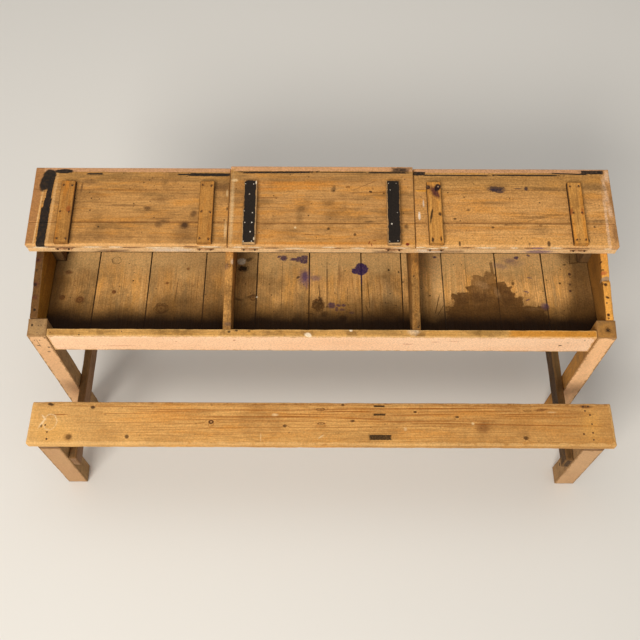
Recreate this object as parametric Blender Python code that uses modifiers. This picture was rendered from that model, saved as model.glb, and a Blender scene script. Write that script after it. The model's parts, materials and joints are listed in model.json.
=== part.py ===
# School desk with bench: a three-place wooden desk whose lids lie folded back.
# The desk posts stand at depth 0, the bench is in front of them (-Y), +Z is up.
# The finished part is shifted so that its origin is the bottom centre of its box.

import math

import bmesh
import bpy
from mathutils import Matrix, Vector

# Fits between pieces
fit_gap = 0.0003
lid_seat_gap = 0.0005
board_edge = 0.0015
thin_edge = 0.0008
seat_edge = 0.005

# Posts and runners
desk_width = 1.767
case_depth = 0.360
post_width = 0.0585
post_depth = 0.055
runner_thickness = 0.0245
runner_height = 0.070
runner_lift = 0.190

# Box of the desk, whose top edge slopes down to the pupil
front_height = 0.650
case_slope = math.radians(11.5)
rail_height = 0.0965
rail_thickness = 0.023
rail_setback = 0.001
side_thickness = 0.024
side_setback = 0.0035
side_chip_length = 0.033
side_chip_depth = 0.008
side_chip_place_share = 0.585
back_thickness = 0.020
back_setback = 0.001
divider_thickness = 0.025
floor_thickness = 0.0135
ledger_height = 0.020
ledger_depth = 0.025
ledger_lift = 0.001
floor_joint = 0.0008
floor_joint_shares = (0.082, 0.179, 0.2825, 0.3795, 0.4766,
                      0.5737, 0.6485, 0.7246, 0.8251, 0.9129)

# Fixed shelf behind the lids
shelf_depth = 0.1084
shelf_thickness = 0.020
shelf_back_overhang = 0.012
shelf_front_gap = 0.001
lid_rest_depth = 0.018
lid_rest_setback = 0.002
lid_rest_inset = 0.045

# Lids: when shut they reach from the shelf to just in front of the rail
top_side_overhang = 0.019
lid_front_overhang = 0.0123
lid_thickness = 0.020
lid_hinge_setback = 0.0015
lid_joint = 0.002
rear_board_depth = 0.0795
centre_lid_width = 0.571
centre_lid_shift = -0.0015
side_lid_tilt = math.radians(5.2)
centre_lid_tilt = math.radians(8.0)

# Battens across the lids' undersides
batten_thickness = 0.015
batten_hinge_setback = 0.0025
batten_front_setback = 0.056
side_batten_width = 0.045
centre_batten_width = 0.042
left_outer_batten_inset = 0.113
left_inner_batten_inset = 0.068
centre_batten_inset = 0.065
right_inner_batten_inset = 0.0605
right_outer_batten_inset = 0.119

# Hinges, two to a lid, in line with the battens
hinge_width = 0.050
hinge_leaf_depth = 0.024
hinge_leaf_thickness = 0.0014
hinge_axis_lift = 0.0025
barrel_radius = 0.0022
pin_bore_radius = 0.0011
pin_radius = 0.0010
barrel_sides_count = 12

# Bench
seat_end_overhang = 0.0315
seat_depth = 0.142
seat_thickness = 0.032
seat_height = 0.423
seat_reach = 0.258
leg_width = 0.068
leg_depth = 0.060
leg_setback = 0.008
bearer_height = 0.035
bearer_back_setback = 0.006

# Finishes: linear colour, roughness, metallic
finishes = {
    "pink_paint": ((0.66, 0.45, 0.38), 0.55, 0.0),
    "honey_pine": ((0.55, 0.31, 0.13), 0.50, 0.0),
    "orange_pine": ((0.52, 0.25, 0.10), 0.50, 0.0),
    "brown_pine": ((0.30, 0.19, 0.11), 0.60, 0.0),
    "black_paint": ((0.02, 0.02, 0.025), 0.45, 0.0),
    "dark_iron": ((0.10, 0.09, 0.085), 0.50, 0.9),
}

# Places worked out from the sizes above
post_outer = desk_width / 2
post_inner = post_outer - post_width
side_outer = post_outer - side_setback
side_inner = side_outer - side_thickness
divider_centre = side_inner / 3
top_half_width = post_outer + top_side_overhang
back_post_front = case_depth - post_depth
rail_bottom = front_height - rail_height
rail_back = rail_setback + rail_thickness
back_board_front = case_depth - back_setback - back_thickness
ledger_bottom = rail_bottom + ledger_lift
ledger_top = ledger_bottom + ledger_height
floor_bottom = ledger_top + fit_gap
floor_top = floor_bottom + floor_thickness

lid_stack = lid_thickness + hinge_axis_lift
shelf_back = case_depth + shelf_back_overhang
shelf_front = shelf_back - shelf_depth
hinge_line_depth = (shelf_front - shelf_front_gap - lid_stack * math.sin(case_slope)
                    + lid_hinge_setback * math.cos(case_slope))
hinge_axis_height = (front_height + hinge_line_depth * math.tan(case_slope)
                     + (lid_seat_gap + lid_stack) / math.cos(case_slope))
shelf_top = hinge_axis_height - hinge_axis_lift
shelf_bottom = shelf_top - shelf_thickness
case_flat_top = shelf_bottom - fit_gap

lid_reach = (hinge_line_depth + lid_front_overhang) / math.cos(case_slope)
open_lid_back = (hinge_line_depth + lid_reach * math.cos(side_lid_tilt)
                 - (hinge_axis_lift + board_edge) * math.sin(side_lid_tilt))
origin_depth = (open_lid_back - seat_reach) / 2

seat_half_length = post_outer + seat_end_overhang
seat_bottom = seat_height - seat_thickness
bearer_top = seat_bottom - fit_gap
bearer_bottom = bearer_top - bearer_height
leg_top = bearer_bottom - fit_gap
leg_front = leg_setback - seat_reach
leg_back = leg_front + leg_depth
bearer_back = seat_depth - seat_reach - bearer_back_setback
runner_outer = post_inner - fit_gap
runner_inner = runner_outer - runner_thickness
runner_top = runner_lift + runner_height


def slope_height(depth):
    # Height of the case's sloping top edge at a depth behind the posts' front
    return front_height + depth * math.tan(case_slope)


def clear_scene():
    for item in list(bpy.data.objects):
        bpy.data.objects.remove(item, do_unlink=True)


def new_collection(name):
    collection = bpy.data.collections.new(name)
    bpy.context.scene.collection.children.link(collection)
    return collection


def new_finish(name, kind):
    colour, roughness, metallic = finishes[kind]
    material = bpy.data.materials.new(name)
    material.use_nodes = True
    shader = material.node_tree.nodes["Principled BSDF"]
    shader.inputs["Base Color"].default_value = (*colour, 1.0)
    shader.inputs["Roughness"].default_value = roughness
    shader.inputs["Metallic"].default_value = metallic
    material.diffuse_color = (*colour, 1.0)
    return material


def new_empty(name, location, tilt=0.0, parent=None):
    empty = bpy.data.objects.new(name, None)
    parts.objects.link(empty)
    empty.location = location
    empty.rotation_euler = (tilt, 0.0, 0.0)
    empty.parent = parent
    return empty


def place(name, data, location, kind, parent):
    item = bpy.data.objects.new(name, data)
    item.location = location
    item.parent = parent
    parts.objects.link(item)
    data.materials.append(new_finish(name + "_finish", kind))
    return item


def mesh_from(bm, name):
    mesh = bpy.data.meshes.new(name)
    bm.to_mesh(mesh)
    bm.free()
    return mesh


def ease_edges(item, width, segments=1):
    bevel = item.modifiers.new("eased edges", "BEVEL")
    bevel.width = width
    bevel.segments = segments
    bevel.limit_method = "ANGLE"


def board(name, x_span, y_span, z_span, kind, parent, edge=board_edge, segments=1, top=None):
    # A sawn board between two corners, its top edge cut to the height given by top
    low = Vector((x_span[0], y_span[0], z_span[0]))
    high = Vector((x_span[1], y_span[1], z_span[1]))
    centre = (low + high) / 2
    size = high - low
    bm = bmesh.new()
    bmesh.ops.create_cube(bm, size=1.0)
    bmesh.ops.scale(bm, vec=size, verts=bm.verts)
    for vert in bm.verts:
        if top is not None and vert.co.z > 0.0:
            vert.co.z = top(centre.y + vert.co.y) - centre.z
    item = place(name, mesh_from(bm, name), centre, kind, parent)
    ease_edges(item, edge, segments)
    return item


def outline_board(name, points, thickness, location, rotation, kind, parent):
    # A board sawn to a flat outline, its thickness centred on the outline's plane
    curve = bpy.data.curves.new(name, "CURVE")
    curve.dimensions = "2D"
    curve.fill_mode = "BOTH"
    curve.extrude = thickness / 2
    spline = curve.splines.new("POLY")
    spline.points.add(len(points) - 1)
    for point, (across, along) in zip(spline.points, points):
        point.co = (across, along, 0.0, 1.0)
    spline.use_cyclic_u = True
    item = place(name, curve, location, kind, parent)
    item.rotation_euler = rotation
    weld = item.modifiers.new("weld caps", "WELD")
    weld.merge_threshold = 0.00001
    ease_edges(item, thin_edge)
    return item


def rod(name, radius, low, high, sides):
    # A round rod along X, between two places on the hinge axis
    bm = bmesh.new()
    turn = Matrix.Rotation(math.pi / 2, 4, "Y")
    middle = Matrix.Translation(((low + high) / 2, 0.0, 0.0))
    bmesh.ops.create_cone(bm, cap_ends=True, segments=sides, radius1=radius, radius2=radius,
                          depth=high - low, matrix=middle @ turn)
    return mesh_from(bm, name)


def block(name, low, high):
    bm = bmesh.new()
    bmesh.ops.create_cube(bm, size=1.0)
    bmesh.ops.scale(bm, vec=Vector(high) - Vector(low), verts=bm.verts)
    bmesh.ops.translate(bm, vec=(Vector(high) + Vector(low)) / 2, verts=bm.verts)
    return mesh_from(bm, name)


def combine(item, mesh, operation):
    # Join a guide solid to an object, or cut it out, and keep the guide out of the build
    guide = bpy.data.objects.new(mesh.name, mesh)
    guide.hide_render = True
    guide.display_type = "WIRE"
    cutters.objects.link(guide)
    boolean = item.modifiers.new(mesh.name, "BOOLEAN")
    boolean.operation = operation
    boolean.solver = "EXACT"
    boolean.object = guide


def mirrored(side, near, far):
    # An X span on the left (-1) or right (+1), from its inner to its outer face
    return (near, far) if side > 0 else (-far, -near)


def build_posts():
    for word, side in (("left", -1), ("right", 1)):
        x_span = mirrored(side, post_inner, post_outer)
        board("front_post_" + word, x_span, (0.0, post_depth), (0.0, front_height),
              "pink_paint", desk, top=slope_height)
        board("back_post_" + word, x_span, (back_post_front, case_depth),
              (0.0, case_flat_top), "pink_paint", desk)


def build_case():
    inner_span = (-post_inner + fit_gap, post_inner - fit_gap)
    board("front_rail", inner_span, (rail_setback, rail_back), (rail_bottom, front_height),
          "pink_paint", desk, top=slope_height)
    board("back_board", inner_span, (back_board_front, case_depth - back_setback),
          (rail_bottom, case_flat_top), "pink_paint", desk)
    board("floor_ledger_front", inner_span, (rail_back + fit_gap, rail_back + ledger_depth),
          (ledger_bottom, ledger_top), "brown_pine", desk)
    board("floor_ledger_back", inner_span,
          (back_board_front - ledger_depth, back_board_front - fit_gap),
          (ledger_bottom, ledger_top), "brown_pine", desk)
    upright = (math.pi / 2, 0.0, math.pi / 2)
    shelf_seat = min(case_flat_top, slope_height(shelf_front))
    side_front = post_depth + fit_gap
    side_back = back_post_front - fit_gap
    side_outline = [(side_front, rail_bottom), (side_back, rail_bottom),
                    (side_back, case_flat_top), (shelf_front, shelf_seat),
                    (side_front, slope_height(side_front))]
    # A wedge is broken out of the right board's top edge
    chip_front = side_front + side_chip_place_share * (shelf_front - side_front)
    chip_back = chip_front + side_chip_length
    chip = [(chip_back, slope_height(chip_back)),
            (chip_front, slope_height(chip_front) - side_chip_depth),
            (chip_front, slope_height(chip_front))]
    outlines = {"left": side_outline, "right": side_outline[:4] + chip + side_outline[4:]}
    for word, side in (("left", -1), ("right", 1)):
        middle = side * (side_outer + side_inner) / 2
        outline_board("side_board_" + word, outlines[word], side_thickness,
                      (middle, 0.0, 0.0), upright, "orange_pine", desk)
    divider_front = rail_back + fit_gap
    divider_back = back_board_front - fit_gap
    divider_bottom = floor_top + fit_gap
    divider_outline = ((divider_front, divider_bottom), (divider_back, divider_bottom),
                       (divider_back, case_flat_top), (shelf_front, shelf_seat),
                       (divider_front, slope_height(divider_front)))
    for word, side in (("left", -1), ("right", 1)):
        outline_board("divider_" + word, divider_outline, divider_thickness,
                      (side * divider_centre, 0.0, 0.0), upright, "brown_pine", desk)


def end_floor_board(name, side, inner_edge, y_span):
    # The floor board beside a side board, notched round the front and back posts
    outer_edge = side * (side_inner - fit_gap)
    notch_edge = side * (post_inner - fit_gap)
    front_notch = post_depth + fit_gap
    back_notch = back_post_front - fit_gap
    points = [(inner_edge, y_span[0]), (notch_edge, y_span[0]), (notch_edge, front_notch),
              (outer_edge, front_notch), (outer_edge, back_notch), (notch_edge, back_notch),
              (notch_edge, y_span[1]), (inner_edge, y_span[1])]
    outline_board(name, points, floor_thickness, (0.0, 0.0, (floor_bottom + floor_top) / 2),
                  (0.0, 0.0, 0.0), "brown_pine", desk)


def build_floor():
    y_span = (rail_back + fit_gap, back_board_front - fit_gap)
    joints = [(2 * share - 1) * side_inner for share in floor_joint_shares]
    end_floor_board("floor_board_01", -1, joints[0] - floor_joint / 2, y_span)
    for number, (left, right) in enumerate(zip(joints, joints[1:]), start=2):
        board("floor_board_%02d" % number, (left + floor_joint / 2, right - floor_joint / 2),
              y_span, (floor_bottom, floor_top), "brown_pine", desk, edge=thin_edge)
    end_floor_board("floor_board_%02d" % (len(joints) + 1), 1, joints[-1] + floor_joint / 2,
                    y_span)


def lid_table():
    # Each lid: its name, its X span, its battens' middle lines and width, its tilt, finish
    joint_left = centre_lid_shift - centre_lid_width / 2 - lid_joint
    joint_right = centre_lid_shift + centre_lid_width / 2 + lid_joint
    centre_left = joint_left + lid_joint
    centre_right = joint_right - lid_joint
    return (
        ("left", (-top_half_width, joint_left),
         (left_outer_batten_inset - top_half_width, joint_left - left_inner_batten_inset),
         side_batten_width, side_lid_tilt, "honey_pine"),
        ("centre", (centre_left, centre_right),
         (centre_left + centre_batten_inset, centre_right - centre_batten_inset),
         centre_batten_width, centre_lid_tilt, "black_paint"),
        ("right", (joint_right, top_half_width),
         (joint_right + right_inner_batten_inset, top_half_width - right_outer_batten_inset),
         side_batten_width, side_lid_tilt, "honey_pine"),
    )


def build_shelf():
    board("back_shelf", (-top_half_width, top_half_width), (shelf_front, shelf_back),
          (shelf_bottom, shelf_top), "honey_pine", desk)
    rest_back = shelf_back - lid_rest_setback
    rest_front = rest_back - lid_rest_depth
    for name, x_span, _, _, tilt, _ in lid_table():
        # Tall enough that the open lid lies on its front edge
        lid_face = hinge_axis_lift / math.cos(tilt) \
            + (rest_front - hinge_line_depth) * math.tan(tilt)
        board("lid_rest_" + name, (x_span[0] + lid_rest_inset, x_span[1] - lid_rest_inset),
              (rest_front, rest_back),
              (shelf_top + fit_gap, hinge_axis_height + lid_face - fit_gap),
              "honey_pine", desk, edge=thin_edge)


def hinge_leaf_mesh(name, barrel_spans, leaf_bottom):
    # A flat leaf with tongues rolled into barrels about the hinge axis, here the X axis
    leaf_top = leaf_bottom + hinge_leaf_thickness
    plate_start = barrel_radius + fit_gap
    plate = block(name, (-hinge_width / 2, plate_start, leaf_bottom),
                  (hinge_width / 2, hinge_leaf_depth, leaf_top))
    leaf = bpy.data.objects.new(name, plate)
    leaf.hide_render = True
    leaf.display_type = "WIRE"
    cutters.objects.link(leaf)
    for number, (low, high) in enumerate(barrel_spans, start=1):
        tongue = block("%s_tongue_%d" % (name, number), (low, 0.0, leaf_bottom),
                       (high, plate_start + hinge_leaf_thickness, leaf_top))
        combine(leaf, tongue, "UNION")
        barrel = rod("%s_barrel_%d" % (name, number), barrel_radius, low, high,
                     barrel_sides_count)
        combine(leaf, barrel, "UNION")
    return leaf


def finished_mesh(item):
    bpy.context.view_layer.update()
    evaluated = item.evaluated_get(bpy.context.evaluated_depsgraph_get())
    return bpy.data.meshes.new_from_object(evaluated)


def build_hinge_leaves():
    # The fixed leaf holds the pin in its two outer barrels; the lid's leaf has one barrel,
    # bored for the pin, between them
    third = hinge_width / 3
    half = hinge_width / 2
    fixed = hinge_leaf_mesh("fixed_leaf_pattern",
                            ((-half, -third / 2 - fit_gap), (third / 2 + fit_gap, half)),
                            fit_gap - hinge_axis_lift)
    combine(fixed, rod("pin", pin_radius, -half, half, barrel_sides_count), "UNION")
    moving = hinge_leaf_mesh("lid_leaf_pattern", ((-third / 2, third / 2),),
                             hinge_axis_lift - fit_gap - hinge_leaf_thickness)
    combine(moving, rod("pin_bore", pin_bore_radius, -half, half, barrel_sides_count),
            "DIFFERENCE")
    fixed_mesh = finished_mesh(fixed)
    moving_mesh = finished_mesh(moving)
    for mesh in (fixed_mesh, moving_mesh):
        mesh.materials.append(new_finish("hinge_iron", "dark_iron"))
    return fixed_mesh, moving_mesh


def place_leaf(name, mesh, location, parent):
    leaf = bpy.data.objects.new(name, mesh)
    leaf.location = location
    leaf.parent = parent
    parts.objects.link(leaf)


def build_lid(name, x_span, batten_lines, batten_width, tilt, batten_kind, leaf_meshes):
    # Built round its hinge axis as it lies open: its underside is the face on top
    prefix = "lid_" + name
    pivot = new_empty(prefix + "_pivot", (0.0, hinge_line_depth, hinge_axis_height), tilt, desk)
    slab = (hinge_axis_lift, lid_stack)
    seam = lid_hinge_setback + rear_board_depth
    board(prefix + "_rear_board", x_span, (lid_hinge_setback, seam - fit_gap / 2),
          slab, "honey_pine", pivot)
    board(prefix + "_front_board", x_span, (seam + fit_gap / 2, lid_reach),
          slab, "honey_pine", pivot)
    batten_start = lid_hinge_setback + batten_hinge_setback
    batten_end = lid_reach - batten_front_setback
    batten_bottom = lid_stack + fit_gap
    fixed_mesh, moving_mesh = leaf_meshes
    for word, line in zip(("left", "right"), batten_lines):
        board(prefix + "_batten_" + word, (line - batten_width / 2, line + batten_width / 2),
              (batten_start, batten_end),
              (batten_bottom, batten_bottom + batten_thickness), batten_kind, pivot)
        place_leaf(prefix + "_hinge_leaf_" + word, moving_mesh, (line, 0.0, 0.0), pivot)
        place_leaf("shelf_hinge_leaf_%s_%s" % (name, word), fixed_mesh,
                   (line, hinge_line_depth, hinge_axis_height), desk)


def build_bench():
    board("bench_seat", (-seat_half_length, seat_half_length),
          (-seat_reach, seat_depth - seat_reach), (seat_bottom, seat_height),
          "orange_pine", desk, edge=seat_edge, segments=2)
    for word, side in (("left", -1), ("right", 1)):
        x_span = mirrored(side, post_inner, post_inner + leg_width)
        board("bench_leg_" + word, x_span, (leg_front, leg_back), (0.0, leg_top),
              "pink_paint", desk)
        board("bench_bearer_" + word, x_span, (leg_front, bearer_back),
              (bearer_bottom, bearer_top), "pink_paint", desk)


def build_runners():
    # Low rails on the inner faces of the bench leg and both posts on each side
    for word, side in (("left", -1), ("right", 1)):
        board("runner_" + word, mirrored(side, runner_inner, runner_outer),
              (leg_front, case_depth), (runner_lift, runner_top), "pink_paint", desk)


clear_scene()
parts = new_collection("school_desk_with_bench")
cutters = new_collection("cutters")
desk = new_empty("desk_origin", (0.0, -origin_depth, 0.0))

build_posts()
build_case()
build_floor()
build_shelf()
hinge_meshes = build_hinge_leaves()
for lid in lid_table():
    build_lid(*lid, hinge_meshes)
build_bench()
build_runners()
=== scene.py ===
import json
import math
import random

import bmesh
import bpy
import numpy as np
from mathutils import Matrix, Vector


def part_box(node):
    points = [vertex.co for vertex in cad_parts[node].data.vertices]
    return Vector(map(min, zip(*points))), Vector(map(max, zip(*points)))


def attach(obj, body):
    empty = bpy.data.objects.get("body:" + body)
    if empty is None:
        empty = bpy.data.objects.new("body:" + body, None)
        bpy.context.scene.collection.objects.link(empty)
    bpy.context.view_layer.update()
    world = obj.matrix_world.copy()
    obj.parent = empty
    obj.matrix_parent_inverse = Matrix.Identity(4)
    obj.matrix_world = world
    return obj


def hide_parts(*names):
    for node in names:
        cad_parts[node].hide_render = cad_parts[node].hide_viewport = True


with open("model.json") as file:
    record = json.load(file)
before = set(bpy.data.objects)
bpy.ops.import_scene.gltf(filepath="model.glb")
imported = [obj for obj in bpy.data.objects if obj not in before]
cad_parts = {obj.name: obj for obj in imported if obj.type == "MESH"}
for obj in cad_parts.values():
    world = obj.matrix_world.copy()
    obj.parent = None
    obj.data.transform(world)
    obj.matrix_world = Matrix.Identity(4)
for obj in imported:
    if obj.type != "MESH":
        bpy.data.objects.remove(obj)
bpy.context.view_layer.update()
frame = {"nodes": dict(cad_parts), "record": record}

cadNodes = frame["nodes"]
bodyOf = {node: body for body, members in frame["record"]["behaviour"]["bodies"].items() for node in members}
print("frame loaded,", len(cadNodes), "nodes")


# Short ways to build node trees, materials and objects

def colour(red, green, blue):  # 0 to 255 as a screen shows them, turned into what a shader takes
    shares = [value / 255 for value in (red, green, blue)]
    return (*[s / 12.92 if s <= 0.04045 else ((s + 0.055) / 1.055) ** 2.4 for s in shares], 1.0)


def feed(tree, socket, value):  # a link, or a value; a colour may be its red, green and blue from 0 to 255
    if isinstance(value, bpy.types.NodeSocket):
        tree.links.new(value, socket)
    elif value is not None:
        plain = socket.type == "RGBA" and len(value) == 3
        socket.default_value = colour(*value) if plain else value


def put(tree, kind, inputs=None, **settings):
    node = tree.nodes.new(kind)
    for key, value in settings.items():
        setattr(node, key, value)
    for key, value in (inputs or {}).items():
        feed(tree, node.inputs[key], value)
    return node


def calc(tree, operation, first, second=None, third=None, clamp=False):
    given = {0: first, 1: second, 2: third}
    return put(tree, "ShaderNodeMath", given, operation=operation, use_clamp=clamp).outputs[0]


def times(tree, first, second):
    return calc(tree, "MULTIPLY", first, second)


def timesPlus(tree, first, second, third):
    return calc(tree, "MULTIPLY_ADD", first, second, third)


def plus(tree, first, second):
    return calc(tree, "ADD", first, second)


def minus(tree, first, second, clamp=False):
    return calc(tree, "SUBTRACT", first, second, clamp=clamp)


def larger(tree, first, second):
    return calc(tree, "MAXIMUM", first, second)


def vectorCalc(tree, operation, first, second=None):
    return put(tree, "ShaderNodeVectorMath", {0: first, 1: second}, operation=operation).outputs[0]


def scaled(tree, vector, scale):
    return put(tree, "ShaderNodeVectorMath", {0: vector, "Scale": scale}, operation="SCALE").outputs[0]


def lengthOf(tree, vector):
    return put(tree, "ShaderNodeVectorMath", {0: vector}, operation="LENGTH").outputs["Value"]


def dotOf(tree, first, second):
    return put(tree, "ShaderNodeVectorMath", {0: first, 1: second}, operation="DOT_PRODUCT").outputs["Value"]


def split(tree, vector):
    return put(tree, "ShaderNodeSeparateXYZ", {0: vector}).outputs


def join(tree, x, y, z):
    return put(tree, "ShaderNodeCombineXYZ", {0: x, 1: y, 2: z}).outputs[0]


def fade(tree, value, start, end, startValue=0.0, endValue=1.0):  # a smooth change between two values
    given = {"Value": value, "From Min": start, "From Max": end, "To Min": startValue, "To Max": endValue}
    return put(tree, "ShaderNodeMapRange", given, interpolation_type="SMOOTHSTEP").outputs[0]


def noiseOf(tree, vector, scale, detail=2.0, roughness=0.5):
    given = {"Vector": vector, "Scale": scale, "Detail": detail, "Roughness": roughness}
    return put(tree, "ShaderNodeTexNoise", given).outputs


def stretched(tree, vector, x, y, z):  # the pattern runs long where the number is small
    return vectorCalc(tree, "MULTIPLY", vector, (x, y, z))


def turned(tree, vector, angle):  # round the upright axis
    given = {"Vector": vector, "Angle": angle}
    return put(tree, "ShaderNodeVectorRotate", given, rotation_type="Z_AXIS").outputs[0]


def mixed(tree, share, first, second):
    return put(tree, "ShaderNodeMix", {0: share, 6: first, 7: second}, data_type="RGBA").outputs[2]


def newGroup(name, inputs, outputs, kind="ShaderNodeTree"):
    tree = bpy.data.node_groups.new(name, kind)
    for label, (socketKind, value) in inputs.items():
        socket = tree.interface.new_socket(label, in_out="INPUT", socket_type="NodeSocket" + socketKind)
        if value is not None:
            socket.default_value = value
    for label, socketKind in outputs.items():
        tree.interface.new_socket(label, in_out="OUTPUT", socket_type="NodeSocket" + socketKind)
    return tree, tree.nodes.new("NodeGroupInput").outputs, tree.nodes.new("NodeGroupOutput").inputs


def newMaterial(name):
    material = bpy.data.materials.new(name)
    material.use_nodes = True
    return material, material.node_tree, material.node_tree.nodes["Principled BSDF"]


def newObject(name, data):
    made = bpy.data.objects.new(name, data)
    bpy.context.scene.collection.objects.link(made)
    return made


def useGroup(tree, group, inputs):
    node = tree.nodes.new("ShaderNodeGroup")
    node.node_tree = group
    for key, value in inputs.items():
        feed(tree, node.inputs[key], value)
    return node.outputs


# Camera, light and floor

camera = {
    "place": (-0.0026, -1.2563, 2.877),
    "lens": 46.87,
    "downward": 62.17,  # degrees below the horizon
    "swing": 0.13,
    "roll": 0.10,
}
studio = {
    "skyLight": 0.42,
    "skyColour": (1.0, 0.985, 0.96),
    "frontLamp": {"place": (-2.6, -5.4, 5.2), "target": (0.05, -0.05, 0.5), "size": (4.0, 2.4),
                  "watts": 440.0, "colour": (1.0, 0.95, 0.88)},
    "topLamp": {"place": (-0.5, 0.5, 3.9), "target": (0.0, 0.0, 0.5), "size": (2.8, 2.2),
                "watts": 27.0, "colour": (1.0, 0.96, 0.91)},
    "floor": (226, 223, 217),
    "floorSize": 9.0,
    "floorLevel": -0.0004,
}


def makeCamera(settings):
    data = bpy.data.cameras.new("camera")
    data.lens, data.sensor_width = settings["lens"], 36.0
    made = newObject("camera", data)
    made.matrix_world = (
        Matrix.Translation(settings["place"])
        @ Matrix.Rotation(math.radians(settings["swing"]), 4, "Z")
        @ Matrix.Rotation(math.radians(90.0 - settings["downward"]), 4, "X")
        @ Matrix.Rotation(math.radians(settings["roll"]), 4, "Z")
    )
    bpy.context.scene.camera = made


def makeLamp(name, settings):
    data = bpy.data.lights.new(name, "AREA")
    data.shape = "RECTANGLE"
    data.size, data.size_y = settings["size"]
    data.energy, data.color = settings["watts"], settings["colour"]
    made = newObject(name, data)
    made.location = settings["place"]
    made.rotation_euler = (Vector(settings["target"]) - made.location).to_track_quat("-Z", "Y").to_euler()


def makeSky(settings):  # white where it is seen, a little warmer where it lights the desk
    world = bpy.data.worlds.new("studioSky")
    bpy.context.scene.world = world
    world.use_nodes = True
    tree = world.node_tree
    tree.nodes.clear()
    sky = {"Color": (*settings["skyColour"], 1.0), "Strength": settings["skyLight"]}
    lit = put(tree, "ShaderNodeBackground", sky)
    seen = put(tree, "ShaderNodeBackground", {"Color": (1.0, 1.0, 1.0, 1.0)})
    ray = tree.nodes.new("ShaderNodeLightPath").outputs
    straight = larger(tree, ray["Is Camera Ray"], ray["Is Glossy Ray"])
    straight = larger(tree, straight, ray["Is Transmission Ray"])
    shown = put(tree, "ShaderNodeMixShader", {0: straight, 1: lit.outputs[0], 2: seen.outputs[0]})
    put(tree, "ShaderNodeOutputWorld", {0: shown.outputs[0]})


def makeStudioFloor(settings):
    half, level = settings["floorSize"], settings["floorLevel"]
    mesh = bpy.data.meshes.new("studioFloor")
    corners = [(x * half, y * half, level) for x, y in ((-1, -1), (1, -1), (1, 1), (-1, 1))]
    mesh.from_pydata(corners, [], [(0, 1, 2, 3)])
    material, tree, shader = newMaterial("studioFloor")
    feed(tree, shader.inputs["Base Color"], settings["floor"])
    shader.inputs["Roughness"].default_value = 0.85
    shader.inputs["Specular IOR Level"].default_value = 0.2
    mesh.materials.append(material)
    newObject("studioFloor", mesh)


bpy.context.scene.view_settings.view_transform = "Standard"
makeCamera(camera)
makeLamp("frontLamp", studio["frontLamp"])
makeLamp("topLamp", studio["topLamp"])
makeSky(studio)
makeStudioFloor(studio)
print("camera, lamps and floor made")


# Shader groups that the finishes share

def makePineGrain():  # yearly rings round the middle of the log, cut by the board's faces
    tree, given, result = newGroup(
        "pineGrain",
        {"Vector": ("Vector", None), "Bend": ("Float", 0.0), "Ring Width": ("Float", 0.004),
         "Wander": ("Float", 0.012), "Taper": ("Float", 0.012)},
        {"Ring": "Float", "Fibre": "Float", "Band": "Float"},
    )
    along, across, below = split(tree, given["Vector"])
    drift = split(tree, noiseOf(tree, stretched(tree, given["Vector"], 1.6, 7.0, 7.0), 1.0, 2.0)["Color"])
    driftY = times(tree, minus(tree, drift[0], 0.5), given["Wander"])
    driftZ = times(tree, minus(tree, drift[1], 0.5), given["Wander"])
    sideways = plus(tree, across, driftY)
    depth = plus(tree, below, driftZ)
    reach = lengthOf(tree, join(tree, sideways, depth, 0.0))
    reach = timesPlus(tree, along, given["Taper"], reach)
    reach = plus(tree, reach, given["Bend"])
    uneven = noiseOf(tree, join(tree, reach, 0.0, 0.0), 70.0, 2.0)["Fac"]
    turns = calc(tree, "DIVIDE", reach, given["Ring Width"])
    turns = timesPlus(tree, uneven, 2.2, turns)
    share = calc(tree, "FRACT", turns)
    late = calc(tree, "POWER", share, 2.6)
    late = times(tree, late, fade(tree, share, 1.0, 0.93))
    strength = put(tree, "ShaderNodeTexWhiteNoise", {"W": calc(tree, "FLOOR", turns)}, noise_dimensions="1D")
    strength = fade(tree, strength.outputs["Value"], 0.0, 1.0, 0.35, 1.0)
    feed(tree, result["Ring"], times(tree, late, strength))
    coarse = noiseOf(tree, stretched(tree, given["Vector"], 7.0, 260.0, 260.0), 1.0, 3.0, 0.65)["Fac"]
    fine = noiseOf(tree, stretched(tree, given["Vector"], 26.0, 1100.0, 1100.0), 1.0, 2.0, 0.6)["Fac"]
    fibre = timesPlus(tree, fine, 0.45, times(tree, coarse, 0.55))
    feed(tree, result["Fibre"], fade(tree, fibre, 0.36, 0.64))
    band = noiseOf(tree, stretched(tree, given["Vector"], 1.1, 16.0, 16.0), 1.0, 3.0, 0.6)["Fac"]
    feed(tree, result["Band"], fade(tree, band, 0.3, 0.7))
    return tree


def makeKnot():  # a dark eye with rings, and how far it pushes the grain round itself
    tree, given, result = newGroup(
        "knot",
        {"Vector": ("Vector", None), "Centre": ("Vector", (0, 0, 0)), "Size": ("Vector", (0.01, 0.01, 0.03))},
        {"Core": "Float", "Halo": "Float"},
    )
    offset = vectorCalc(tree, "SUBTRACT", given["Vector"], given["Centre"])
    reach = lengthOf(tree, vectorCalc(tree, "DIVIDE", offset, given["Size"]))
    ragged = noiseOf(tree, given["Vector"], 130.0, 2.0)["Fac"]
    reach = timesPlus(tree, minus(tree, ragged, 0.5), 0.7, reach)
    rings = calc(tree, "COSINE", times(tree, reach, 7.2))
    core = times(tree, fade(tree, reach, 1.1, 0.85), fade(tree, rings, -1.0, 1.0, 0.3, 1.0))
    feed(tree, result["Core"], core)
    spread = times(tree, times(tree, reach, reach), -0.32)
    feed(tree, result["Halo"], calc(tree, "EXPONENT", spread))
    return tree


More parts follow.
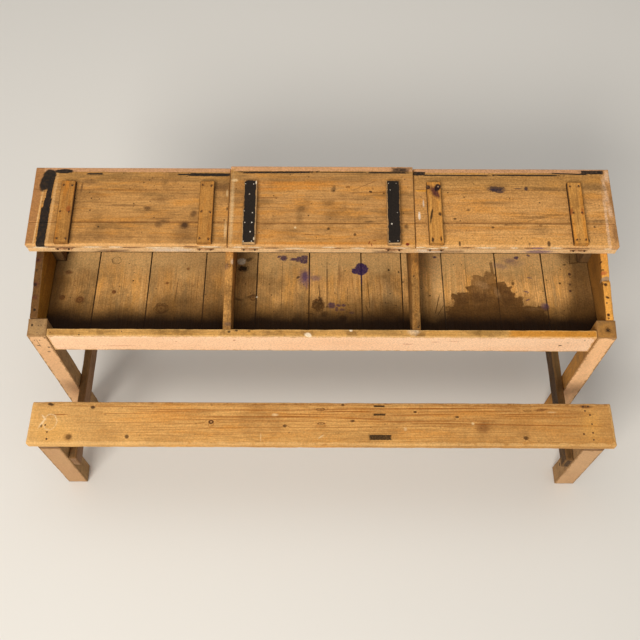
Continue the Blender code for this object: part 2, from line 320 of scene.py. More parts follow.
def makeMark(name, square):  # one spill, stain, chip or stripe at a known place
    tree, given, result = newGroup(
        name,
        {"Vector": ("Vector", None), "Centre": ("Vector", (0, 0, 0)), "Size": ("Vector", (0.01, 0.01, 0.01)),
         "Turn": ("Float", 0.0), "Ragged": ("Float", 0.3), "Ragged Scale": ("Float", 110.0),
         "Soft": ("Float", 0.2)},
        {"Mask": "Float", "Tide": "Float"},
    )
    offset = vectorCalc(tree, "SUBTRACT", given["Vector"], given["Centre"])
    shares = vectorCalc(tree, "DIVIDE", turned(tree, offset, given["Turn"]), given["Size"])
    if square:
        x, y, z = split(tree, vectorCalc(tree, "ABSOLUTE", shares))
        reach = larger(tree, larger(tree, x, y), z)
    else:
        reach = lengthOf(tree, shares)
    ragged = noiseOf(tree, given["Vector"], given["Ragged Scale"], 4.0, 0.6)["Fac"]
    reach = timesPlus(tree, minus(tree, ragged, 0.5), given["Ragged"], reach)
    inner = minus(tree, 1.0, given["Soft"])
    outer = plus(tree, 1.0, given["Soft"])
    feed(tree, result["Mask"], fade(tree, reach, outer, inner))
    feed(tree, result["Tide"], times(tree, fade(tree, reach, 0.8, 0.97), fade(tree, reach, 1.06, 0.99)))
    return tree


def makeEdgeWear():  # a broken band along the edges of a board, from its distance to them
    tree, given, result = newGroup(
        "edgeWear",
        {"Rim": ("Float", 1.0), "Vector": ("Vector", None), "Width": ("Float", 0.004),
         "Broken": ("Float", 0.6), "Scale": ("Float", 45.0)},
        {"Mask": "Float"},
    )
    bits = noiseOf(tree, given["Vector"], given["Scale"], 4.0, 0.62)["Fac"]
    reach = fade(tree, bits, 0.32, 0.68, -1.0, 1.0)
    reach = timesPlus(tree, reach, given["Broken"], 1.0)
    reach = times(tree, reach, given["Width"])
    near = calc(tree, "DIVIDE", given["Rim"], larger(tree, reach, 0.0001))
    feed(tree, result["Mask"], fade(tree, near, 1.15, 0.7))
    return tree


def makeWeather():  # dirty patches, smears and warm streaks along the board, dents, thin scratches, fine dirt
    tree, given, result = newGroup(
        "weather",
        {"Vector": ("Vector", None), "Plank": ("Vector", None), "Patch Scale": ("Float", 7.0),
         "Speck Scale": ("Float", 150.0)},
        {"Patches": "Float", "Smears": "Float", "Warmth": "Float", "Mottle": "Float", "Specks": "Float",
         "Scratches": "Float"},
    )
    broad = noiseOf(tree, given["Vector"], given["Patch Scale"], 6.0, 0.66)["Fac"]
    feed(tree, result["Patches"], fade(tree, broad, 0.46, 0.64))
    streaks = noiseOf(tree, stretched(tree, given["Plank"], 5.0, 30.0, 30.0), 1.0, 6.0, 0.72)["Color"]
    first, second, _ = split(tree, streaks)
    feed(tree, result["Smears"], fade(tree, first, 0.5, 0.66))
    feed(tree, result["Warmth"], fade(tree, second, 0.47, 0.64))
    mottle = noiseOf(tree, given["Vector"], 190.0, 4.0, 0.75)["Fac"]
    feed(tree, result["Mottle"], fade(tree, mottle, 0.28, 0.72, -1.0, 1.0))
    dots = put(tree, "ShaderNodeTexVoronoi", {"Vector": given["Vector"], "Scale": given["Speck Scale"]})
    rare = put(tree, "ShaderNodeSeparateColor", {0: dots.outputs["Color"]}).outputs[0]
    size = put(tree, "ShaderNodeSeparateColor", {0: dots.outputs["Color"]}).outputs[1]
    size = fade(tree, size, 0.0, 1.0, 0.12, 0.42)
    dot = fade(tree, dots.outputs["Distance"], size, times(tree, size, 0.5))
    feed(tree, result["Specks"], times(tree, dot, fade(tree, rare, 0.93, 0.97)))
    lines = stretched(tree, given["Plank"], 9.0, 330.0, 330.0)
    thin = noiseOf(tree, turned(tree, lines, 0.05), 1.0, 1.0, 0.4)["Fac"]
    feed(tree, result["Scratches"], fade(tree, thin, 0.66, 0.72))
    return tree


groups = {
    "grain": makePineGrain(),
    "knot": makeKnot(),
    "spot": makeMark("spot", False),
    "stripe": makeMark("stripe", True),
    "edgeWear": makeEdgeWear(),
    "weather": makeWeather(),
}
print("shader groups made:", len(groups))


# Geometry node trees

def endTree(tree, given, result, geometry):  # every tree ends as plain geometry with its material
    real = put(tree, "GeometryNodeRealizeInstances", {0: geometry}).outputs[0]
    finished = put(tree, "GeometryNodeSetMaterial", {"Geometry": real, "Material": given["Material"]})
    feed(tree, result["Geometry"], finished.outputs[0])


def named(tree, name, kind="FLOAT"):  # a value that the mesh carries at each point
    return put(tree, "GeometryNodeInputNamedAttribute", {"Name": name}, data_type=kind).outputs["Attribute"]


def makeWornEdges():  # pushes dents and chips into a board's edges, and makes its faces a little uneven
    tree, given, result = newGroup(
        "wornEdges",
        {"Geometry": ("Geometry", None), "Chip Depth": ("Float", 0.0015), "Chips per Metre": ("Float", 22.0),
         "Edge Width": ("Float", 0.004), "Face Unevenness": ("Float", 0.0004), "Seed": ("Float", 1.0),
         "Material": ("Material", None)},
        {"Geometry": "Geometry"},
        "GeometryNodeTree",
    )
    place = tree.nodes.new("GeometryNodeInputPosition").outputs[0]
    normal = tree.nodes.new("GeometryNodeInputNormal").outputs[0]
    chips = {"Vector": place, "W": given["Seed"], "Scale": given["Chips per Metre"], "Detail": 4.0,
             "Roughness": 0.65}
    chips = put(tree, "ShaderNodeTexNoise", chips, noise_dimensions="4D").outputs[0]
    chips = times(tree, fade(tree, chips, 0.42, 0.74), given["Chip Depth"])
    nearEdge = fade(tree, named(tree, "rim"), given["Edge Width"], 0.0)
    chips = times(tree, chips, nearEdge)
    waves = {"Vector": place, "W": given["Seed"], "Scale": 9.0, "Detail": 3.0}
    waves = put(tree, "ShaderNodeTexNoise", waves, noise_dimensions="4D").outputs[0]
    waves = times(tree, fade(tree, waves, 0.3, 0.7), given["Face Unevenness"])
    depth = times(tree, plus(tree, chips, waves), -1.0)
    push = scaled(tree, normal, depth)
    moved = put(tree, "GeometryNodeSetPosition", {"Geometry": given["Geometry"], "Offset": push}).outputs[0]
    endTree(tree, given, result, moved)
    return tree


def makeHeadsOnPoints():  # a nail or screw head on each point, turned to face out of the wood
    tree, given, result = newGroup(
        "headsOnPoints",
        {"Geometry": ("Geometry", None), "Head": ("Object", None), "Size Spread": ("Float", 0.15),
         "Lean": ("Float", 0.12), "Seed": ("Int", 3), "Material": ("Material", None)},
        {"Geometry": "Geometry"},
        "GeometryNodeTree",
    )
    facing = named(tree, "facing", "FLOAT_VECTOR")
    turn = put(tree, "FunctionNodeAlignRotationToVector", {"Vector": facing}, axis="Z")
    lean = times(tree, given["Lean"], -1.0)
    most = join(tree, given["Lean"], given["Lean"], 6.283)  # the last is a full turn
    tip = {0: join(tree, lean, lean, 0.0), 1: most, "Seed": given["Seed"]}
    tip = put(tree, "FunctionNodeRandomValue", tip, data_type="FLOAT_VECTOR")
    tipTurn = put(tree, "FunctionNodeEulerToRotation", {0: tip.outputs[0]}).outputs[0]
    pose = {"Rotation": turn.outputs[0], "Rotate By": tipTurn}
    pose = put(tree, "FunctionNodeRotateRotation", pose, rotation_space="LOCAL").outputs[0]
    low = minus(tree, 1.0, given["Size Spread"])
    high = plus(tree, 1.0, given["Size Spread"])
    spread = put(tree, "FunctionNodeRandomValue", {2: low, 3: high, "Seed": given["Seed"]}, data_type="FLOAT")
    size = times(tree, named(tree, "radius"), spread.outputs[1])
    head = put(tree, "GeometryNodeObjectInfo", {"Object": given["Head"]}).outputs["Geometry"]
    size = join(tree, size, size, size)
    placed = {"Points": given["Geometry"], "Instance": head, "Rotation": pose, "Scale": size}
    placed = put(tree, "GeometryNodeInstanceOnPoints", placed).outputs[0]
    endTree(tree, given, result, placed)
    return tree


def runTree(piece, tree, values):  # adds the tree, sets its inputs, and keeps the result as a plain mesh
    modifier = piece.modifiers.new(tree.name, "NODES")
    modifier.node_group = tree
    sockets = {item.name: item.identifier for item in tree.interface.items_tree if item.in_out == "INPUT"}
    for label, value in values.items():
        modifier[sockets[label]] = value
    bpy.context.view_layer.update()
    graph = bpy.context.evaluated_depsgraph_get()
    final = piece.evaluated_get(graph)
    made = bpy.data.meshes.new_from_object(final, preserve_all_data_layers=True, depsgraph=graph)
    piece.modifiers.clear()
    piece.data = made
    made.name = piece.name


wornEdges = makeWornEdges()
headsOnPoints = makeHeadsOnPoints()
print("geometry node trees made")


# Finishes: their colours are red, green and blue from 0 to 255

ink = (58, 38, 82)
inkFaint = (104, 78, 104)
tar = (34, 28, 24)
# the dark of nail holes and specks, also used for painted shadow lines behind the left lid's battens
nailHoleAndShadowDark = (36, 24, 15)
ironStain = (88, 56, 26)
paleWood = (222, 190, 140)
whitePaint = (228, 208, 184)
knotBrown = (84, 46, 18)

plainWood = {  # what every wooden finish starts from
    "lid": None,  # the lid whose own plane the marks are given in
    "early": (178, 128, 72), "late": (128, 80, 34), "ringWidth": 0.0045, "ringContrast": 0.6,
    "wander": 0.014, "taper": 0.012,
    "fibreColour": (110, 70, 32), "fibreContrast": 0.4,
    "bandColour": (196, 140, 74), "bandContrast": 0.5,
    "warmColour": (206, 134, 50), "warm": 0.35, "smearColour": (122, 88, 48), "smear": 0.45, "mottle": 0.2,
    "dirtColour": (84, 55, 28), "dirt": 0.35, "dirtScale": 7.0,
    "specks": 0.6, "speckScale": 150.0, "scratches": 0.15, "scratchColour": (60, 38, 20),
    "edgeColour": (70, 45, 24), "edge": 0.5, "edgeWidth": 0.003, "edgeBroken": 0.6, "edgeScale": 45.0,
    "toneSpread": 0.18,
    "roughness": 0.75, "shine": 0.12, "relief": 0.0007,
    "knots": [], "marks": [], "fades": [], "lateFades": [], "paint": None,
}


def makeOneMark(tree, place, layer, centre, size, turn=0.0, ragged=0.35, soft=0.25, strength=1.0):
    made = useGroup(tree, groups[layer.get("shape", "spot")], {
        "Vector": place, "Centre": centre, "Size": size, "Turn": math.radians(turn), "Ragged": ragged,
        "Ragged Scale": layer.get("raggedScale", 110.0), "Soft": soft})
    mask = times(tree, made["Mask"], strength)
    if layer.get("tide"):  # the dark line that a dried spill leaves round itself
        mask = timesPlus(tree, made["Tide"], layer["tide"], mask)
    return mask


def grey(value):  # a plain value for a colour socket
    return (value, value, value, 1.0)


def layMarks(tree, place, base, rough, marks):  # marks of one colour share one layer
    for layer in marks:
        mask = 0.0
        for mark in layer["places"]:
            mask = larger(tree, mask, makeOneMark(tree, place, layer, *mark))
        if layer.get("patchy"):
            worn = noiseOf(tree, place, layer.get("patchScale", 160.0), 4.0, 0.7)["Fac"]
            mask = times(tree, mask, fade(tree, worn, 0.2, 0.62, 1.0 - layer["patchy"], 1.0))
        mask = calc(tree, "MINIMUM", mask, 1.0)
        base = mixed(tree, mask, base, layer["colour"])
        if layer.get("rough") is not None:
            rough = mixed(tree, mask, rough, grey(layer["rough"]))
    return base, rough


def layFades(tree, place, base, fades):  # each with its axis, start, end, colour and strength
    for axis, start, end, tint, strength in fades:
        wobble = noiseOf(tree, place, 16.0, 4.0)["Fac"]
        wobble = minus(tree, wobble, 0.5)
        along = timesPlus(tree, wobble, abs(end - start) * 0.9, split(tree, place)[axis])
        base = laid(tree, fade(tree, along, start, end), strength, base, tint)
    return base


def laid(tree, mask, strength, under, tint):  # a colour over another where its mask is, at a strength
    return mixed(tree, times(tree, mask, strength), under, tint)


def makeWood(name, settings):
    look = {**plainWood, **settings}
    material, tree, shader = newMaterial(name)
    carried = {}
    for key in ("plank", "facing", "rim", "tone"):
        carried[key] = put(tree, "ShaderNodeAttribute", attribute_name=key).outputs
    plank, facing = carried["plank"]["Vector"], carried["facing"]["Vector"]
    rim, tone = carried["rim"]["Fac"], carried["tone"]["Fac"]
    place = tree.nodes.new("ShaderNodeTexCoord").outputs["Object"]
    if look["lid"]:  # into the lid's own plane: along the hinge, out from it, and through the board
        tilt = math.radians(lidTilt[look["lid"]])
        own = {"Vector": place, "Location": hingeLine, "Rotation": (tilt, 0, 0)}
        place = put(tree, "ShaderNodeMapping", own, vector_type="TEXTURE").outputs[0]

    bend, core = 0.0, None
    for centre, size, *push in look["knots"]:
        knot = useGroup(tree, groups["knot"], {"Vector": place, "Centre": centre, "Size": size})
        bend = timesPlus(tree, knot["Halo"], push[0] if push else 0.012, bend)
        core = knot["Core"] if core is None else larger(tree, core, knot["Core"])
    grain = useGroup(tree, groups["grain"], {
        "Vector": plank, "Bend": bend, "Ring Width": look["ringWidth"], "Wander": look["wander"],
        "Taper": look["taper"]})
    base = laid(tree, grain["Band"], look["bandContrast"], look["early"], look["bandColour"])
    base = laid(tree, grain["Ring"], look["ringContrast"], base, look["late"])
    base = laid(tree, grain["Fibre"], look["fibreContrast"], base, look["fibreColour"])

    wear = useGroup(tree, groups["weather"], {
        "Vector": place, "Plank": plank, "Patch Scale": look["dirtScale"], "Speck Scale": look["speckScale"]})
    base = laid(tree, wear["Warmth"], look["warm"], base, look["warmColour"])
    base = laid(tree, wear["Smears"], look["smear"], base, look["smearColour"])
    base = laid(tree, wear["Patches"], look["dirt"], base, look["dirtColour"])
    base = laid(tree, wear["Specks"], look["specks"], base, nailHoleAndShadowDark)
    base = laid(tree, wear["Scratches"], look["scratches"], base, look["scratchColour"])
    lighter = timesPlus(tree, minus(tree, tone, 0.5), look["toneSpread"] * 2, 1.0)
    base = scaled(tree, base, lighter)
    if core is not None:
        base = laid(tree, core, 0.85, base, knotBrown)
    rough = fade(tree, grain["Fibre"], 0.0, 1.0, look["roughness"] - 0.05, look["roughness"] + 0.08)
    base = layFades(tree, place, base, look["fades"])
    edge = useGroup(tree, groups["edgeWear"], {
        "Rim": rim, "Vector": place, "Width": look["edgeWidth"], "Broken": look["edgeBroken"],
        "Scale": look["edgeScale"]})["Mask"]
    base = laid(tree, edge, look["edge"], base, look["edgeColour"])

    height = times(tree, grain["Ring"], 0.35)
    height = timesPlus(tree, grain["Fibre"], -0.4, height)
    height = timesPlus(tree, wear["Specks"], -1.2, height)
    height = timesPlus(tree, wear["Scratches"], -0.5, height)

    paint = look["paint"]
    if paint:
        covered = None
        for direction in paint["faces"]:
            one = fade(tree, dotOf(tree, facing, direction), 0.35, 0.72)
            covered = one if covered is None else larger(tree, covered, one)
        rubbed = useGroup(tree, groups["edgeWear"], {
            "Rim": rim, "Vector": place, "Width": paint["wornEdge"], "Broken": 0.9, "Scale": 60.0})["Mask"]
        flakes = noiseOf(tree, place, paint["flakeScale"], 6.0, 0.68)["Fac"]
        flaked = fade(tree, flakes, 1.0 - paint["flaked"], 1.03 - paint["flaked"])
        bare = larger(tree, times(tree, rubbed, paint["rubbed"]), flaked)
        covered = times(tree, covered, minus(tree, 1.0, bare, clamp=True))
        shades = noiseOf(tree, stretched(tree, plank, 3.0, 12.0, 12.0), 1.0, 4.0, 0.6)["Fac"]
        coat = mixed(tree, fade(tree, shades, 0.3, 0.75), paint["colour"], paint["shade"])
        strokes = noiseOf(tree, stretched(tree, plank, 10.0, 420.0, 420.0), 1.0, 2.0)["Fac"]
        coat = mixed(tree, fade(tree, strokes, 0.5, 0.8, 0.0, paint["strokes"]), coat, paint["strokeColour"])
        grime = noiseOf(tree, place, 11.0, 5.0, 0.62)["Fac"]
        coat = mixed(tree, fade(tree, grime, 0.5, 0.75, 0.0, paint["grime"]), coat, paint["grimeColour"])
        base = mixed(tree, covered, base, coat)
        rough = mixed(tree, covered, rough, grey(paint["roughness"]))
        height = timesPlus(tree, covered, 0.5, times(tree, height, 0.8))
    base, rough = layMarks(tree, place, base, rough, look["marks"])
    base = layFades(tree, place, base, look["lateFades"])
    shade = timesPlus(tree, wear["Mottle"], look["mottle"], 1.0)
    feed(tree, shader.inputs["Base Color"], scaled(tree, base, shade))
    feed(tree, shader.inputs["Roughness"], rough)
    shader.inputs["Specular IOR Level"].default_value = look["shine"]
    bump = put(tree, "ShaderNodeBump", {"Height": height, "Distance": look["relief"], "Strength": 1.0})
    feed(tree, shader.inputs["Normal"], bump.outputs[0])
    return material


# Where the lids' own planes lie

hingeLine = (0.0, 0.12081, 0.72628)
lidTilt = {"lid_left": 5.2, "lid_centre": 8.0, "lid_right": 5.2}  # how far each open lid leans up at the back

sideBattens = {"left": (-0.7895, -0.357), "right": (0.3465, 0.7835)}
nailRows = (0.205, 0.111, 0.018)  # out from the hinge line
nailSides = (-0.0135, 0.0135)  # from a batten's middle


def battenPlaces(centres):  # one for each nail in the battens
    return [(x, out, side) for x in centres for out in nailRows for side in nailSides]


def battenHalos(centres):  # rust that has run into the wood round each of them, as rows for flat marks
    return [(1000 * (x + side), 1000 * out, 4.2, 3.6, 0.75) for x, out, side in battenPlaces(centres)]


# Marks. A row is in millimetres: its centre, its half size and its strength, and then, where they differ
# from its layer's, its turn in degrees, how ragged and how soft it is. A lid's marks are in its own plane.

slab, battenTop, seatLevel, floorLevel = 22.5, 37.8, 423, 588.3  # heights of the faces that are marked


def metres(*values):
    return tuple(value / 1000 for value in values)


def deep(tint, ragged, soft, rows, **more):  # rows with their own height and depth
    places = []
    for x, y, z, wide, long, high, strength, *own in rows:
        shape = *own, *(0, ragged, soft)[len(own):]
        places.append((metres(x, y, z), metres(wide, long, high), *shape, strength))
    return {"colour": tint, "places": places, **more}


def flat(tint, level, depth, ragged, soft, rows, **more):  # rows on one level
    rows = [(x, y, level, wide, long, depth, *rest) for x, y, wide, long, *rest in rows]
    return deep(tint, ragged, soft, rows, **more)


def knotsAt(level, depth, rows):  # centre, half size, and how far it pushes the grain where that isn't 12
    return [(metres(x, y, level), metres(wide, long, depth), *metres(*push))
            for x, y, wide, long, *push in rows]


finishes = {}

lidFinish = dict(
    slot="lid_pine", early=(192, 140, 78), late=(150, 98, 44), ringContrast=0.55, ringWidth=0.0046,
    fibreColour=(146, 98, 50), fibreContrast=0.5, bandColour=(208, 156, 92), bandContrast=0.7,
    warmColour=(204, 134, 50), warm=0.5, smearColour=(128, 94, 52), smear=0.62, dirtColour=(122, 86, 46),
    dirt=0.5, dirtScale=9, speckScale=120, specks=0.75, scratches=0.3, scratchColour=(96, 62, 30),
    edgeColour=(172, 124, 68), edge=0.35, edgeWidth=0.0016, mottle=0.22,
    fades=[(1, 0.205, 0.255, (138, 106, 56), 0.5), (1, 0.04, 0, (218, 158, 88), 0.55)])
seamBrown = (122, 78, 36)
hingeSideTan = (226, 172, 108)
backEdgePink = (196, 146, 106)
seamStain = dict(shape="stripe", patchy=0.7, patchScale=45, raggedScale=60)
hingeSideWear = dict(shape="stripe", patchy=0.35, patchScale=70)
backEdgePaint = dict(shape="stripe", patchy=0.45, rough=0.8)
tarLayer = dict(shape="stripe", patchy=0.08, patchScale=90, raggedScale=90, rough=0.8)


def hingeFlakes(tint, rows, patchy, **more):  # on the narrow face over the shelf: centre and half length
    rows = [(x, 1.5, 11.5 + 4 * math.sin(0.09 * x), half, 4, 4.5, 0.9) for x, half in rows]
    return deep(tint, 1.8, 0.3, rows, patchy=patchy, **more)


def hingeEdge(pale, bare, inked=()):  # that face's old coat and its flakes
    return [
        deep((222, 176, 120), 0.6, 0.15, [(0, 1.5, 9.5, 950, 3, 9.5, 0.9)],
             shape="stripe", patchy=0.4, patchScale=90, rough=0.8),
        hingeFlakes((128, 84, 56), bare, 0.7, patchScale=260, raggedScale=240),
        hingeFlakes((250, 228, 192), pale, 0.6, patchScale=260, raggedScale=240),
        hingeFlakes((116, 84, 122), inked, 0.4, patchScale=200)]


finishes["lidLeft"] = dict(
    lidFinish, lid="lid_left",
    fades=[(1, 0.205, 0.255, (138, 106, 56), 0.25), (1, 0.04, 0, (206, 148, 82), 0.3)],
    knots=knotsAt(slab, 20, [(-539.6, 131.8, 7, 5), (-600, 200, 4, 3)]),
    marks=[
        flat(backEdgePink, 12.5, 30, 0.6, 0.05, [(-595.5, 272.5, 320, 10.5, 0.95)], **backEdgePaint),
        flat((164, 114, 68), 12.5, 30, 0.5, 0.05, [
            (-890.5, 140, 14.5, 160, 0.95)], **dict(backEdgePaint, patchy=0.4)),
        flat(hingeSideTan, slab, 12, 0.7, 0.2, [(-595.5, 2, 320, 6.2, 0.9)], **hingeSideWear),
        *hingeEdge(
            pale=((-860, 20), (-700, 30), (-630, 20), (-500, 40), (-440, 20), (-340, 30)),
            bare=((-840, 35), (-780, 30), (-580, 30), (-400, 25), (-320, 12))),
        flat((222, 176, 118), slab, 12, 1.2, 0.4, [
            (-874.5, 90, 2.2, 100, 0.8, 2), (-835, 120, 4, 120, 0.5, 1, 1.4, 0.5)],
            shape="stripe", patchy=0.5),
        flat(seamBrown, slab, 12, 1.3, 0.3, [
            (-557, 83.3, 260, 2.2, 0.7), (-575, 196.5, 190, 2.4, 0.6, 0, 1.3, 0.4),
            (-890, 197, 14, 1.4, 0.6, 0, 1)], **seamStain),
        flat((96, 66, 38), slab, 10, 1.1, 0.5, [
            (-422.6, 70, 16, 14, 0.9, 0, 0.6), (-424, 38, 28, 30, 0.5, 0, 0.9, 0.75),
            (-539.6, 131.8, 12, 8, 0.7, 12, 0.9), (-502, 74, 10, 11, 0.7, -20), (-487, 86, 16, 5, 0.7, 8),
            (-502, 162.6, 24, 10, 0.55, 0, 1.2, 0.8), (-396.8, 112.6, 10, 12, 0.8, 0, 0.8),
            (-731.7, 226.4, 22, 9, 0.6, 0, 1.2, 0.7), (-751.2, 205, 3.2, 22, 0.7, 4),
            (-317.4, 207.2, 26, 13, 0.7, 0, 1, 0.7), (-618, 141.6, 52, 4, 0.6, 0, 1.3, 0.7),
            (-495, 95, 30, 3.5, 0.6, 0, 1.2, 0.6), (-700, 28, 90, 12, 0.4, 0, 1.4, 0.8),
            (-640, 30, 50, 12, 0.35, 5, 1.4, 0.8), (-560, 235, 100, 10, 0.4, 0, 1.4, 0.8)],
            patchy=0.35, raggedScale=70),
        flat((60, 38, 22), slab, 10, 0.6, 0.5, [(-421.5, 72.5, 9.5, 8.5, 0.8)], patchy=0.2),
        flat(tar, slab, 12, 0.9, 0.2, [
            (-855.2, 64, 13.6, 70, 1, 0.6, 0.5, 0.05), (-852.5, 140, 11.2, 26, 1, 5, 0.7, 0.05),
            (-850, 190, 8.4, 46, 1, 3, 0.6, 0.06), (-716, 254.8, 24.5, 3, 1),
            (-356, 253, 66, 5.6, 1, 0.4, 0.8, 0.1), (-425, 253.5, 30, 2.6, 1)], **tarLayer),
        flat(tar, slab, 12, 0.5, 0.18, [
            (-865.5, 225, 18, 34, 1, 12), (-856, 250, 20, 21, 1, -20, 0.5, 0.16),
            (-813, 264, 29, 8, 1, 0, 0.6, 0.16)], **dict(tarLayer, shape="spot")),
        # nail holes, and at out 224.5 a painted shadow line behind the back end of each batten
        flat(nailHoleAndShadowDark, slab, 10, 0.4, 0.4, [
            (-293.5, 130, 2.2, 6, 0.8), (-685, 66, 3, 3, 0.8), (-789.5, 224.5, 26, 2.8, 0.9, 0, 0.3, 0.3),
            (-357, 224.5, 25, 2.2, 0.9, 0, 0.3, 0.3)]),
        flat(paleWood, slab, 10, 0.6, 0.5, [(-296, 55, 4, 28, 0.5), (-296, 185, 3, 12, 0.5)])])

finishes["lidCentre"] = dict(
    lidFinish, lid="lid_centre", early=(196, 144, 84), warm=0.55, dirt=0.4,
    fades=[(1, 0.215, 0.262, (138, 110, 62), 0.3), (1, 0.035, 0, (214, 148, 66), 0.6)],
    knots=knotsAt(slab, 20, [(257.5, 69.3, 4, 4), (80, 205, 6, 4)]),
    marks=[
        flat((204, 152, 108), 12.5, 30, 0.6, 0.05, [(-1.5, 271.5, 290, 10.5, 0.95)], **backEdgePaint),
        flat((220, 170, 110), slab, 12, 0.7, 0.2, [(-1.5, 2, 290, 6.2, 0.9)], **hingeSideWear),
        *hingeEdge(
            pale=((-254, 20), (-204, 20), (-83, 30), (20, 20), (110, 20), (240, 25)),
            bare=((-150, 20), (50, 12), (186, 28))),
        flat(seamBrown, slab, 12, 1, 0.3, [
            (-30, 77.8, 180, 2.2, 0.7, -0.3, 1.3), (-170, 167.5, 30, 1.8, 0.7, -2),
            (130, 210, 36, 1.6, 0.6, -24, 0.9), (140, 186, 60, 1.6, 0.6, -2),
            (-30, 40.5, 24, 1.5, 0.7, 2, 0.8)], **seamStain),
        flat((196, 120, 38), slab, 12, 1.3, 0.6, [
            (-100, 216.8, 110, 6, 0.5), (-120, 198.5, 90, 4, 0.5, -1), (-20, 10, 160, 6, 0.5)],
            shape="stripe", patchy=0.7, patchScale=40),
        flat(tar, slab, 12, 1.2, 0.15, [
            (-140, 256, 115, 3.6, 1, -0.4), (60, 257, 80, 1.8, 0.9, 0, 1.2, 0.3),
            (205, 256, 62, 3, 1, 0, 1.2, 0.2), (245, 265.5, 26, 7.5, 0.95, 0, 1.5, 0.5)],
            **dict(tarLayer, patchy=0.25)),
        flat((98, 70, 40), slab, 10, 1.3, 0.8, [
            (35.2, 196.8, 7, 12, 0.75, 15, 1, 0.5), (-63.1, 128.8, 12, 10, 0.7, 0, 1.2, 0.6),
            (-68.8, 104, 10, 22, 0.5, 0, 1.2), (21, 149.3, 20, 10, 0.45), (25, 108, 20, 13, 0.5),
            (144.5, 85.1, 14, 3, 0.8, 0, 1.2, 0.5), (-190, 158, 30, 6, 0.5, 0, 1.3, 0.7),
            (257.5, 69.3, 7, 9, 0.7, 0, 0.9, 0.5), (-265, 155, 12, 10, 0.4, 30, 1.3, 0.6),
            (10, 230, 200, 10, 0.35, 0, 1.4)], patchy=0.35, raggedScale=70),
        flat((56, 36, 20), slab, 10, 0.8, 0.4, [
            (150.2, 189.1, 5.2, 3.5, 0.9, 20, 0.8, 0.3), (19.1, 61.3, 4.5, 4.2, 0.8),
            (100.3, 41.9, 4, 4.5, 0.75), (36.5, 192.5, 3.4, 3.2, 0.7)]),
        flat((120, 46, 24), slab, 10, 0.9, 0.4, [
            (143.3, 15, 2, 6, 0.8, 24), (150, 8, 1.8, 5, 0.8, -20), (159.3, 21.6, 4.5, 1.8, 0.6)]),
        flat((104, 22, 18), slab, 10, 0.7, 0.25, [(259.6, 9.9, 5.4, 4.8, 0.95)]),
        flat(paleWood, slab, 10, 0.8, 0.5, [
            (-273.2, 227.6, 10, 5, 0.7), (-82.2, 64.4, 3.6, 3.6, 0.8, 0, 0.4, 0.4),
            (-278, 120, 5, 100, 0.5, 0, 1.2, 0.8)])])

